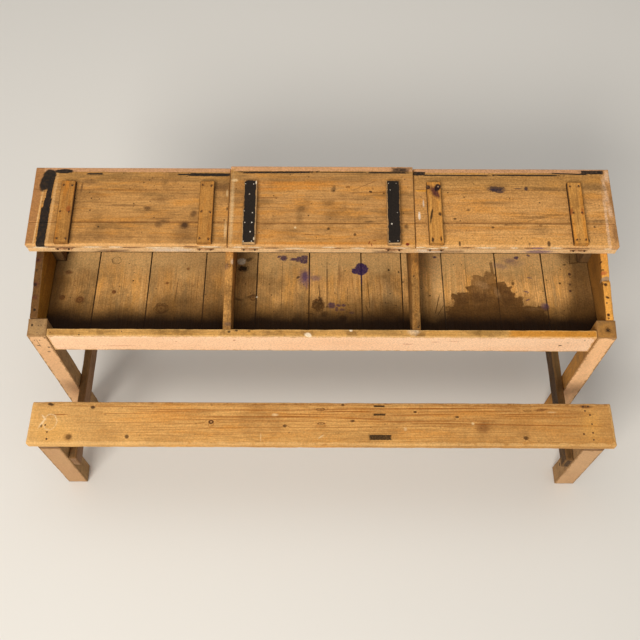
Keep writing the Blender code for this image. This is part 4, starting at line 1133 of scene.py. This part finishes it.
finishes["frontPostLeft"] = dict(
    plainPost, early=(168, 130, 88), late=(120, 88, 54), paint=dict(postPaint, faces=leftPostFaces),
    marks=[
        deep(nailHoleAndShadowDark, 0.4, 0.3, [
            (-870, -105, 657, 3.2, 4, 8, 0.9), (-851, -106, 657, 1.6, 2, 8, 0.7),
            (-868, -138.8, 622, 2.2, 10, 3, 0.8), (-852, -138.8, 622, 2.2, 10, 3, 0.8),
            (-833, -138.8, 636, 2.2, 10, 3, 0.8), (-838, -138.8, 574, 4, 10, 4, 0.9, 0, 0.5),
            (-866, -138.8, 585, 6, 10, 3, 0.7, 0, 0.8), (-846, -138.8, 542, 5, 10, 3, 0.8, 0, 0.8)]),
        flat((92, 60, 36), 600, 28, 0.8, 0.3, [(-861, -138.8, 1.2, 10, 0.6)], shape="stripe")])

finishes["frontPostRight"] = dict(
    plainPost, early=(182, 126, 58), late=(138, 86, 32), bandColour=(190, 134, 64),
    warmColour=(194, 128, 48),
    paint=dict(postPaint, faces=rightPostFaces, colour=(250, 198, 145), flaked=0.2),
    marks=[
        flat((96, 62, 30), 655, 12, 1.2, 0.6, [(858, -114.6, 10, 10, 0.7)], patchy=0.4),
        flat((40, 26, 14), 655, 12, 0.8, 0.3, [
            (858, -114.6, 7.2, 1.3, 0.95, 40), (858, -114.6, 6.2, 1.3, 0.95, -25),
            (858, -114, 1.3, 6, 0.95, 5)], shape="stripe")])

backPostPaint = dict(postPaint, colour=(196, 146, 106), shade=(180, 130, 92))
for side, outward in (("Left", (-1, 0, 0)), ("Right", (1, 0, 0))):
    finishes["backPost" + side] = dict(
        plainPost, early=(108, 78, 46), bandColour=(120, 86, 50), late=(74, 50, 26), edgeColour=(60, 40, 22),
        edge=0.6, paint=dict(backPostPaint, faces=[outward, (0, 1, 0)]))
for side, faces, early, front in (("Left", leftPostFaces, (176, 136, 90), (184, 143, 99)),
                                  ("Right", rightPostFaces, (158, 120, 82), (198, 156, 112))):
    finishes["benchLeg" + side] = dict(
        plainPost, early=early, late=(116, 82, 50),
        paint=dict(
            postPaint, faces=faces, colour=front, shade=(184, 140, 98), flaked=0.26, grime=0.45,
            grimeColour=(150, 112, 78)),
        marks=[deep(nailHoleAndShadowDark, 0.6, 0.3, [
            (825, -358, 155, 10, 5, 4, 0.8), (825, -352, 130, 10, 5, 5, 0.8),
            (825, -349, 95, 10, 6, 7, 0.8)])])

finishes["stretcher"] = dict(
    plainPost, early=(116, 84, 50), late=(88, 60, 34), fibreColour=(80, 56, 34),
    paint=dict(
        postPaint, colour=(138, 102, 68), shade=(120, 86, 56), flaked=0.36, grime=0.6,
        grimeColour=(94, 68, 44)))

# much darker than the stretcher finish: painted shade under the bench seat, over a light-brown board
finishes["runnerRight"] = dict(
    finishes["stretcher"], early=(66, 42, 16), late=(46, 28, 10),
    paint=dict(
        postPaint, colour=(68, 44, 16), shade=(54, 34, 12), flaked=0.4, grime=0.6, grimeColour=(42, 26, 10)))

finishes["shelf"] = dict(
    slot="shelf_pine", early=(182, 132, 76), late=(142, 94, 46), ringContrast=0.6, fibreColour=(136, 92, 46),
    edgeColour=(248, 210, 156), edge=0.75, edgeWidth=0.0045, edgeScale=60,
    paint=dict(
        railPaint, colour=(238, 194, 140), shade=(220, 172, 116), flaked=0.36, flakeScale=34, grime=0.35,
        grimeColour=(186, 138, 90), rubbed=0.6),
    marks=[
        deep((98, 66, 48), 1.2, 0.4, [
            (-645, 125, 712, 50, 10, 6, 0.7), (-100, 125, 714, 40, 10, 6, 0.7),
            (190, 125, 712, 30, 10, 6, 0.7), (400, 125, 714, 35, 10, 6, 0.6)],
            shape="stripe", patchy=0.7, patchScale=220),
        flat(whitePaint, 716, 7, 1.2, 0.4, [
            (-460, 125, 55, 10, 0.8), (330, 125, 35, 10, 0.8)], shape="stripe", patchy=0.5, patchScale=140),
        flat(inkFaint, 714, 8, 1.2, 0.5, [(665, 125, 45, 12, 0.8)], patchy=0.4)])

finishes["backBoard"] = dict(
    slot="side_pine", early=(150, 104, 60), late=(112, 72, 36), ringContrast=0.6, fibreColour=(104, 68, 34),
    dirt=0.5,
    paint=dict(
        postPaint, faces=[(0, 1, 0)], colour=(186, 138, 100), shade=(168, 120, 84), flaked=0.34,
        flakeScale=70),
    fades=[(2, 0.66, 0.59, (52, 32, 12), 0.5)])

finishes["innerPine"] = dict(
    slot="floor_pine", early=(150, 106, 58), late=(112, 74, 36), ringContrast=0.55,
    fibreColour=(104, 70, 34))
print("finishes described:", len(finishes))


# Which board gets which finish: the way its grain runs, where the log's middle lay, and how light it is

boards = {
    "bench_seat": dict(finish="seatPine", grain=0, heart=(0.034, -0.042), tone=0.5, chips=0.0022),
    "front_rail": dict(finish="rail", grain=0, tone=0.5),
    "front_post_left": dict(finish="frontPostLeft", grain=2, tone=0.5),
    "front_post_right": dict(finish="frontPostRight", grain=2, tone=0.5),
    "back_post_left": dict(finish="backPostLeft", grain=2),
    "back_post_right": dict(finish="backPostRight", grain=2),
    "bench_leg_left": dict(finish="benchLegLeft", grain=2),
    "bench_leg_right": dict(finish="benchLegRight", grain=2),
    "bench_bearer_left": dict(finish="stretcher", grain=1),
    "bench_bearer_right": dict(finish="stretcher", grain=1),
    "runner_left": dict(finish="stretcher", grain=1),
    "runner_right": dict(finish="runnerRight", grain=1),
    "side_board_left": dict(finish="sideLeft", grain=1, tone=0.5),
    "side_board_right": dict(finish="sideRight", grain=1, tone=0.5),
    "divider_left": dict(finish="divider", grain=1, tone=0.68),
    "divider_right": dict(finish="divider", grain=1, tone=0.26),
    "back_shelf": dict(finish="shelf", grain=0, tone=0.5),
    "back_board": dict(finish="backBoard", grain=0, tone=0.5),
    "floor_ledger_front": dict(finish="innerPine", grain=0),
    "floor_ledger_back": dict(finish="innerPine", grain=0),
    "lid_rest_left": dict(finish="innerPine", grain=0),
    "lid_rest_centre": dict(finish="innerPine", grain=0),
    "lid_rest_right": dict(finish="innerPine", grain=0),
}
for side, finish, batten in (("left", "lidLeft", "battenPine"), ("centre", "lidCentre", "battenBlack"),
                             ("right", "lidRight", "battenRight")):
    for place, tone in (("rear", 0.53), ("front", 0.48)):
        boards[f"lid_{side}_{place}_board"] = dict(
            finish=finish, grain=0, tone=tone, chips=0.0004, uneven=0.0003)
    for end in ("left", "right"):
        boards[f"lid_{side}_batten_{end}"] = dict(finish=batten, grain=1, heart=(0.0, -0.05), chips=0.0006)
# each floor board's tone; the boards on the right are also made lighter as painted light, against the shade
# there
floorTonesAndLight = (0.34, 0.74, 0.54, 0.41, 0.64, 0.76, 0.54, 0.92, 1.00, 1.06, 1.06)
for number, tone in enumerate(floorTonesAndLight, 1):
    boards[f"floor_board_{number:02d}"] = dict(
        finish="boxFloor", grain=1, tone=tone, chips=0.0001, uneven=0.0001)
print("boards described:", len(boards))

boardCuts = {  # how finely a board's faces are divided, and the angles that count as flat and as a corner
    "along": 0.009, "across": 0.014, "rimLoop": 0.0035, "clearOfLoop": 1.6, "flat": 0.6, "corner": 12.0}


def ownPlane(node):  # a board's own zero point and axes: the desk's, or its open lid's
    body = bodyOf[node]
    if body not in lidTilt:
        return Vector((0.0, 0.0, 0.0)), Matrix.Identity(3)
    return Vector(hingeLine), Matrix.Rotation(math.radians(lidTilt[body]), 3, "X")


def cutBoard(node, grain):  # the CAD board with its loose triangles joined and its faces divided for wear
    work = bmesh.new()
    work.from_mesh(cadNodes[node].data)
    bmesh.ops.remove_doubles(work, verts=work.verts, dist=2e-5)
    flatAngle, cornerAngle = math.radians(boardCuts["flat"]), math.radians(boardCuts["corner"])
    bmesh.ops.dissolve_limit(work, angle_limit=flatAngle, verts=work.verts, edges=work.edges)
    corners = [(edge.verts[0].co.copy(), edge.verts[1].co.copy()) for edge in work.edges
               if edge.is_manifold and edge.calc_face_angle(0.0) > cornerAngle]
    zero, turn = ownPlane(node)
    spots = [turn.transposed() @ (vert.co - zero) for vert in work.verts]
    low = [min(spot[axis] for spot in spots) for axis in range(3)]
    high = [max(spot[axis] for spot in spots) for axis in range(3)]
    order = sorted(range(3), key=lambda axis: axis != grain)
    for axis in order:
        step = boardCuts["along"] if axis == grain else boardCuts["across"]
        span = high[axis] - low[axis]
        count = max(1, round(span / step))
        places = [low[axis] + span * number / count for number in range(1, count)]
        loop = boardCuts["rimLoop"]
        if span > 4 * loop:
            clear = boardCuts["clearOfLoop"] * loop
            places = [p for p in places if low[axis] + clear < p < high[axis] - clear]
            places += [low[axis] + loop, high[axis] - loop]
        for p in places:
            at = zero + turn @ Vector([p if axis == other else 0.0 for other in range(3)])
            everything = work.verts[:] + work.edges[:] + work.faces[:]
            bmesh.ops.bisect_plane(work, geom=everything, plane_co=at, plane_no=turn.col[axis], dist=1e-6)
    work.verts.index_update()
    mesh = bpy.data.meshes.new(node)
    mesh.from_pydata([v.co for v in work.verts], [], [[v.index for v in face.verts] for face in work.faces])
    work.free()
    mesh.shade_smooth()
    return mesh, corners, (low, high), (zero, turn)


def distanceToCorners(points, corners):  # from each point to the nearest edge of the board
    nearest = np.full(len(points), 1.0)
    for first, second in corners:
        a, b = np.array(first), np.array(second)
        way = b - a
        share = np.clip(((points - a) @ way) / max(way @ way, 1e-12), 0.0, 1.0)
        nearest = np.minimum(nearest, np.linalg.norm(points - a - share[:, None] * way, axis=1))
    return nearest


def addValues(mesh, name, kind, values):
    layer = mesh.attributes.new(name, kind, "POINT")
    field = "vector" if kind == "FLOAT_VECTOR" else "value"
    layer.data.foreach_set(field, np.asarray(values, np.float32).ravel())


materials = {name: makeWood(name, settings) for name, settings in finishes.items()}
print("materials made:", len(materials))


def makeBoard(node, settings):
    mesh, corners, (low, high), (zero, turn) = cutBoard(node, settings["grain"])
    chance = random.Random(node)  # the same board each run
    points = np.array([v.co for v in mesh.vertices], float).reshape(-1, 3)
    own = (points - np.array(zero)) @ np.array(turn)
    grain = settings["grain"]
    across, below = [axis for axis in range(3) if axis != grain]
    if grain < 2 and high[across] - low[across] < high[2] - low[2]:  # a board that stands on its edge
        across, below = below, across
    heart = settings.get("heart") or (chance.uniform(-0.05, 0.05), -chance.uniform(0.04, 0.09))
    plank = np.stack([
        own[:, grain] + chance.uniform(-20.0, 20.0),
        own[:, across] - (low[across] + high[across]) / 2 - heart[0],
        own[:, below] - (low[below] + high[below]) / 2 - heart[1],
    ], axis=1)
    normals = np.array([v.normal for v in mesh.vertices], float).reshape(-1, 3) @ np.array(turn)
    addValues(mesh, "plank", "FLOAT_VECTOR", plank)
    addValues(mesh, "facing", "FLOAT_VECTOR", normals)
    addValues(mesh, "rim", "FLOAT", distanceToCorners(points, corners))
    addValues(mesh, "tone", "FLOAT", np.full(len(points), settings.get("tone", chance.uniform(0.3, 0.7))))
    piece = newObject("worn_" + node, mesh)
    finish = settings["finish"]
    runTree(piece, wornEdges, {
        "Chip Depth": settings.get("chips", 0.0015), "Seed": chance.uniform(0.0, 50.0),
        "Face Unevenness": settings.get("uneven", 0.0005), "Material": materials[finish]})
    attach(piece, bodyOf[node])
    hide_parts(node)


for node, settings in boards.items():
    makeBoard(node, settings)
print("boards made:", len(boards))


# Nails and screws

ironLook = dict(
    dark=(52, 38, 28), rust=(96, 56, 28), bright=(104, 88, 72), shiny=0.25, rustScale=140.0, roughness=0.6)
steelLook = dict(ironLook, dark=(196, 186, 170), rust=(150, 128, 104), bright=(232, 226, 214), shiny=0.1)
leafLook = dict(
    ironLook, dark=(196, 150, 104), rust=(150, 108, 70), bright=(222, 180, 130), rustScale=60.0, shiny=0.0,
    roughness=0.7)
dirtLook = dict(ironLook, dark=(34, 22, 12), rust=(58, 38, 20), bright=(92, 64, 36), shiny=0.0, roughness=0.7)


def makeMottled(name, settings):  # metal with rust, and the dirt in the joints
    material, tree, shader = newMaterial(name)
    place = tree.nodes.new("ShaderNodeTexCoord").outputs["Object"]
    rust = noiseOf(tree, place, settings["rustScale"], 5.0, 0.65)["Fac"]
    fine = noiseOf(tree, place, settings["rustScale"] * 7, 3.0, 0.6)["Fac"]
    rusty = fade(tree, rust, 0.42, 0.62)
    base = mixed(tree, rusty, settings["dark"], settings["rust"])
    base = mixed(tree, fade(tree, fine, 0.6, 0.8, 0.0, 0.5), base, settings["bright"])
    feed(tree, shader.inputs["Base Color"], base)
    feed(tree, shader.inputs["Metallic"], fade(tree, rusty, 0.0, 1.0, settings["shiny"], 0.0))
    shader.inputs["Specular IOR Level"].default_value = 0.2
    rough = fade(tree, rusty, 0.0, 1.0, settings["roughness"] - 0.15, settings["roughness"] + 0.3)
    feed(tree, shader.inputs["Roughness"], rough)
    rise = plus(tree, rust, fine)
    bump = put(tree, "ShaderNodeBump", {"Height": rise, "Distance": 0.0004, "Strength": 0.8})
    feed(tree, shader.inputs["Normal"], bump.outputs[0])
    return material


iron = makeMottled("oldIron", ironLook)
steel = makeMottled("brightNails", steelLook)
leafIron = makeMottled("leafIron", leafLook)
headShape = {"nailSides": 10, "screwSides": 14, "slotHalf": 0.16, "slotDepth": 0.34}


def headObject(name, work, facesOf):
    work.verts.index_update()
    faces = [[v.index for v in face.verts] for face in work.faces]
    mesh = bpy.data.meshes.new(name)
    mesh.from_pydata([v.co for v in work.verts], [], facesOf(faces))
    work.free()
    made = newObject(name, mesh)
    made.hide_render = made.hide_viewport = True
    return made


def nailHead(settings):  # a low hammered dome, one unit in radius
    work = bmesh.new()
    sides = settings["nailSides"]
    rings = [(1.0, -0.5), (1.0, 0.06), (0.72, 0.22), (0.34, 0.27)]
    loops = [[work.verts.new((
        radius * math.cos(math.tau * k / sides) * (1 + 0.05 * math.sin(k * 2.3)),
        radius * math.sin(math.tau * k / sides) * (1 + 0.05 * math.cos(k * 1.7)),
        height + 0.02 * math.sin(k * 3.1))) for k in range(sides)] for radius, height in rings]
    for lower, upper in zip(loops, loops[1:]):
        for k in range(sides):
            work.faces.new((lower[k], lower[(k + 1) % sides], upper[(k + 1) % sides], upper[k]))
    work.faces.new(loops[-1])
    work.faces.new(loops[0][::-1])
    return headObject("nailHead", work, list)


def inOrder(faces):  # each from its lowest corner on, because extruding leaves them in another order each run
    return sorted(face[face.index(min(face)):] + face[:face.index(min(face))] for face in faces)


def screwHead(settings):  # a slotted head, one unit in radius
    work = bmesh.new()
    sides, half = settings["screwSides"], settings["slotHalf"]
    angles = [math.tau * (k + 0.5) / sides for k in range(sides)]
    face = work.faces.new([work.verts.new((math.cos(angle), math.sin(angle), 0.14)) for angle in angles])
    walls = bmesh.ops.extrude_face_region(work, geom=[face])["geom"]
    bmesh.ops.translate(work, verts=[v for v in walls if isinstance(v, bmesh.types.BMVert)], vec=(0, 0, -0.6))
    for side in (-half, half):
        everything = work.verts[:] + work.edges[:] + work.faces[:]
        bmesh.ops.bisect_plane(work, geom=everything, plane_co=(0, side, 0), plane_no=(0, 1, 0))
    bmesh.ops.recalc_face_normals(work, faces=work.faces)
    slot = [f for f in work.faces if f.normal.z > 0.9 and abs(f.calc_center_median().y) < half * 0.9]
    sunk = bmesh.ops.extrude_face_region(work, geom=slot)["geom"]
    bmesh.ops.delete(work, geom=slot, context="FACES")
    lowered = [v for v in sunk if isinstance(v, bmesh.types.BMVert)]
    bmesh.ops.translate(work, verts=lowered, vec=(0, 0, -settings["slotDepth"]))
    bmesh.ops.recalc_face_normals(work, faces=work.faces)
    return headObject("screwHead", work, inOrder)


def onLid(body, x, out, lift=0.0378):  # a point given in a lid's own plane, and the way that face looks
    turn = Matrix.Rotation(math.radians(lidTilt[body]), 3, "X")
    return (*(Vector(hingeLine) + turn @ Vector((x, out, lift))), *(turn @ Vector((0.0, 0.0, 1.0))))


def battenNails(body, centres, radius):
    found = []
    for x, out, side in battenPlaces(centres):
        shiftX, shiftOut = 0.0015 * math.sin(x * 40 + out * 90), 0.004 * math.sin(x * 70 + side * 300)
        found.append((*onLid(body, x + side + shiftX, out + shiftOut), radius))
    return found


up = (0, 0, 1)
seatTop = 0.4228
nails = {  # each with its place, the way it faces and its radius, in metres
    "desk": [(x, y, seatTop, *up, 0.0027) for x, y in (
        (-0.853, -0.358), (-0.851, -0.381), (-0.862, -0.335), (0.826, -0.267), (0.842, -0.2665),
        (0.830, -0.281), (0.844, -0.295), (0.846, -0.325), (0.816, -0.358), (0.845, -0.354), (0.844, -0.377))]
    + [(x, -0.127 + lift, 0.6520 + lift * 0.2035, *up, 0.0018)  # in the rail's top edge
       for x, lift in ((0.8, 0.0), (-0.6, 0.004), (0.1, 0.002))]
    + [(x, 0.155, 0.5879, *up, 0.0019)  # in the box floor
       for x in (0.423, 0.449, 0.486, 0.31, 0.74, 0.0, -0.1, -0.44, -0.62, -0.32)]
    + [(sign * 0.8832, y, z, sign, 0, 0, 0.0026) for sign in (-1, 1)  # in the posts
       for y, z in ((-0.125, 0.60), (-0.098, 0.63), (0.185, 0.61), (0.203, 0.66))]
    + [(sign * 0.8798, y, z, sign, 0, 0, 0.0021) for sign in (-1, 1)  # in the side boards
       for y, z in ((-0.072, 0.60), (-0.070, 0.645), (0.150, 0.605), (0.152, 0.655))]
    + [(x, y, z, *up, radius) for x, y, z, radius in (  # in the right side board's top edge
        (0.862, 0.027, 0.6831, 0.0024), (0.866, -0.014, 0.6748, 0.0024), (0.863, -0.030, 0.6716, 0.002),
        (0.863, -0.064, 0.6646, 0.0024))]
    + [(x, 0.2199, z, 0, 1, 0, 0.0024) for x in (-0.78, -0.45, -0.2853, 0.0, 0.2853, 0.5, 0.78)
       for z in (0.62, 0.68)]  # in the back board
    + [(x, 0.215, 0.7235, *up, 0.0024) for x in (-0.85, -0.6, -0.3, 0.02, 0.31, 0.58, 0.86)],  # in the shelf
    "lid_left": battenNails("lid_left", sideBattens["left"], 0.0022),
    "lid_centre": [(*onLid("lid_centre", x, out), radius) for x, out, radius in (
        (-0.237, 0.207, 0.0014), (-0.212, 0.206, 0.0014), (-0.224, 0.171, 0.0024), (-0.238, 0.113, 0.0017),
        (-0.213, 0.107, 0.0019), (-0.235, 0.074, 0.0018), (-0.214, 0.074, 0.0022), (-0.218, 0.043, 0.0026),
        (-0.238, 0.011, 0.0018), (-0.213, 0.011, 0.0018), (0.205, 0.210, 0.0014), (0.229, 0.210, 0.0014),
        (0.210, 0.187, 0.0014), (0.230, 0.109, 0.0014), (0.212, 0.071, 0.0024), (0.204, 0.013, 0.0016),
        (0.229, 0.014, 0.0018))],
    "lid_right": battenNails("lid_right", (0.7835,), 0.0022)
    + [(*onLid("lid_right", x, out), radius) for x, out, radius in (
        (0.328, 0.201, 0.0036), (0.3615, 0.102, 0.0022), (0.333, 0.015, 0.002), (0.360, 0.017, 0.002))],
}
leafScrews = {"alongLeaf": (-0.017, 0.0, 0.017), "outward": (-0.0025, 0.0025, -0.0025), "radius": 0.0031,
              "sunk": 0.00012, "barrelHalf": 0.006}


def screwsOnLeaves():  # each hinge leaf is held by three screws, staggered as on a bought hinge
    found = {}
    for node, thing in cadNodes.items():
        if "hinge_leaf" not in node:
            continue
        zero, turn = ownPlane(node)
        own = np.array([turn.transposed() @ (v.co - zero) for v in thing.data.vertices])
        low, high = own.min(0), own.max(0)
        shelf = node.startswith("shelf")
        wing = own[np.abs(own[:, 1]) > leafScrews["barrelHalf"]]  # the flat part beside the barrel
        middle, out = (low[0] + high[0]) / 2, wing[:, 1].mean() if len(wing) else (low[1] + high[1]) / 2
        face = wing[:, 2].max() if shelf else wing[:, 2].min()
        look = Vector((0.0, 0.0, 1.0 if shelf else -1.0))
        for shift, outward in zip(leafScrews["alongLeaf"], leafScrews["outward"]):
            spot = Vector((middle + shift, out + outward, face - leafScrews["sunk"] * look.z))
            place = zero + turn @ spot
            found.setdefault(bodyOf[node], []).append((*place, *(turn @ look), leafScrews["radius"]))
    return found


def scatterHeads(name, body, spots, head, values):
    mesh = bpy.data.meshes.new(name)
    mesh.from_pydata([spot[:3] for spot in spots], [], [])
    addValues(mesh, "facing", "FLOAT_VECTOR", [spot[3:6] for spot in spots])
    addValues(mesh, "radius", "FLOAT", [spot[6] for spot in spots])
    piece = newObject(name, mesh)
    runTree(piece, headsOnPoints, {"Head": head, **values})
    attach(piece, body)


nailShape, screwShape = nailHead(headShape), screwHead(headShape)
for body, spots in nails.items():
    metal = steel if body == "lid_centre" else iron
    values = {"Size Spread": 0.2, "Lean": 0.14, "Seed": 5, "Material": metal}
    scatterHeads("nails_" + body, body, spots, nailShape, values)
for body, spots in screwsOnLeaves().items():
    values = {"Size Spread": 0.0, "Lean": 0.0, "Seed": 8, "Material": iron}
    scatterHeads("screws_" + body, body, spots, screwShape, values)
for head in (nailShape, screwShape):
    bpy.data.objects.remove(head)
print("nails and screws made")


# Dirt packed into the joints of the box floor

jointDirt = {"width": 0.0008, "below": 0.0012, "thick": 0.006, "bumps": 0.0005, "step": 0.006}


def makeJointDirt(settings):
    chance = random.Random(4)
    mesh = bpy.data.meshes.new("dirt_in_joints")
    points, faces = [], []
    for number in range(1, len(floorTonesAndLight)):
        (_, front, _), (leftEdge, back, top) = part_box(f"floor_board_{number:02d}")
        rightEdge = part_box(f"floor_board_{number + 1:02d}")[0][0]
        middle, half = (leftEdge + rightEdge) / 2, settings["width"] / 2
        count = round((back - front) / settings["step"])
        start = len(points)
        for k in range(count + 1):
            y = front + 0.001 + (back - front - 0.002) * k / count
            high = top - settings["below"] - chance.uniform(0.0, settings["bumps"])
            low = high - settings["thick"]
            ring = ((-half, low), (half, low), (half, high), (-half, high))
            points += [(middle + side, y, z) for side, z in ring]
        for k in range(count):
            a, b = start + 4 * k, start + 4 * k + 4
            faces += [(a + j, a + (j + 1) % 4, b + (j + 1) % 4, b + j) for j in range(4)]
        faces += [(start + 3, start + 2, start + 1, start), tuple(start + 4 * count + j for j in range(4))]
    mesh.from_pydata(points, [], faces)
    work = bmesh.new()
    work.from_mesh(mesh)
    bmesh.ops.recalc_face_normals(work, faces=work.faces)
    work.to_mesh(mesh)
    work.free()
    mesh.materials.append(makeMottled("jointDirt", dirtLook))
    piece = newObject("dirt_in_joints", mesh)
    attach(piece, bodyOf["floor_board_01"])


makeJointDirt(jointDirt)
print("dirt laid in the floor's joints")

for node, thing in cadNodes.items():
    if "hinge_leaf" in node:
        thing.data.materials.clear()
        thing.data.materials.append(leafIron)
print("hinges finished")
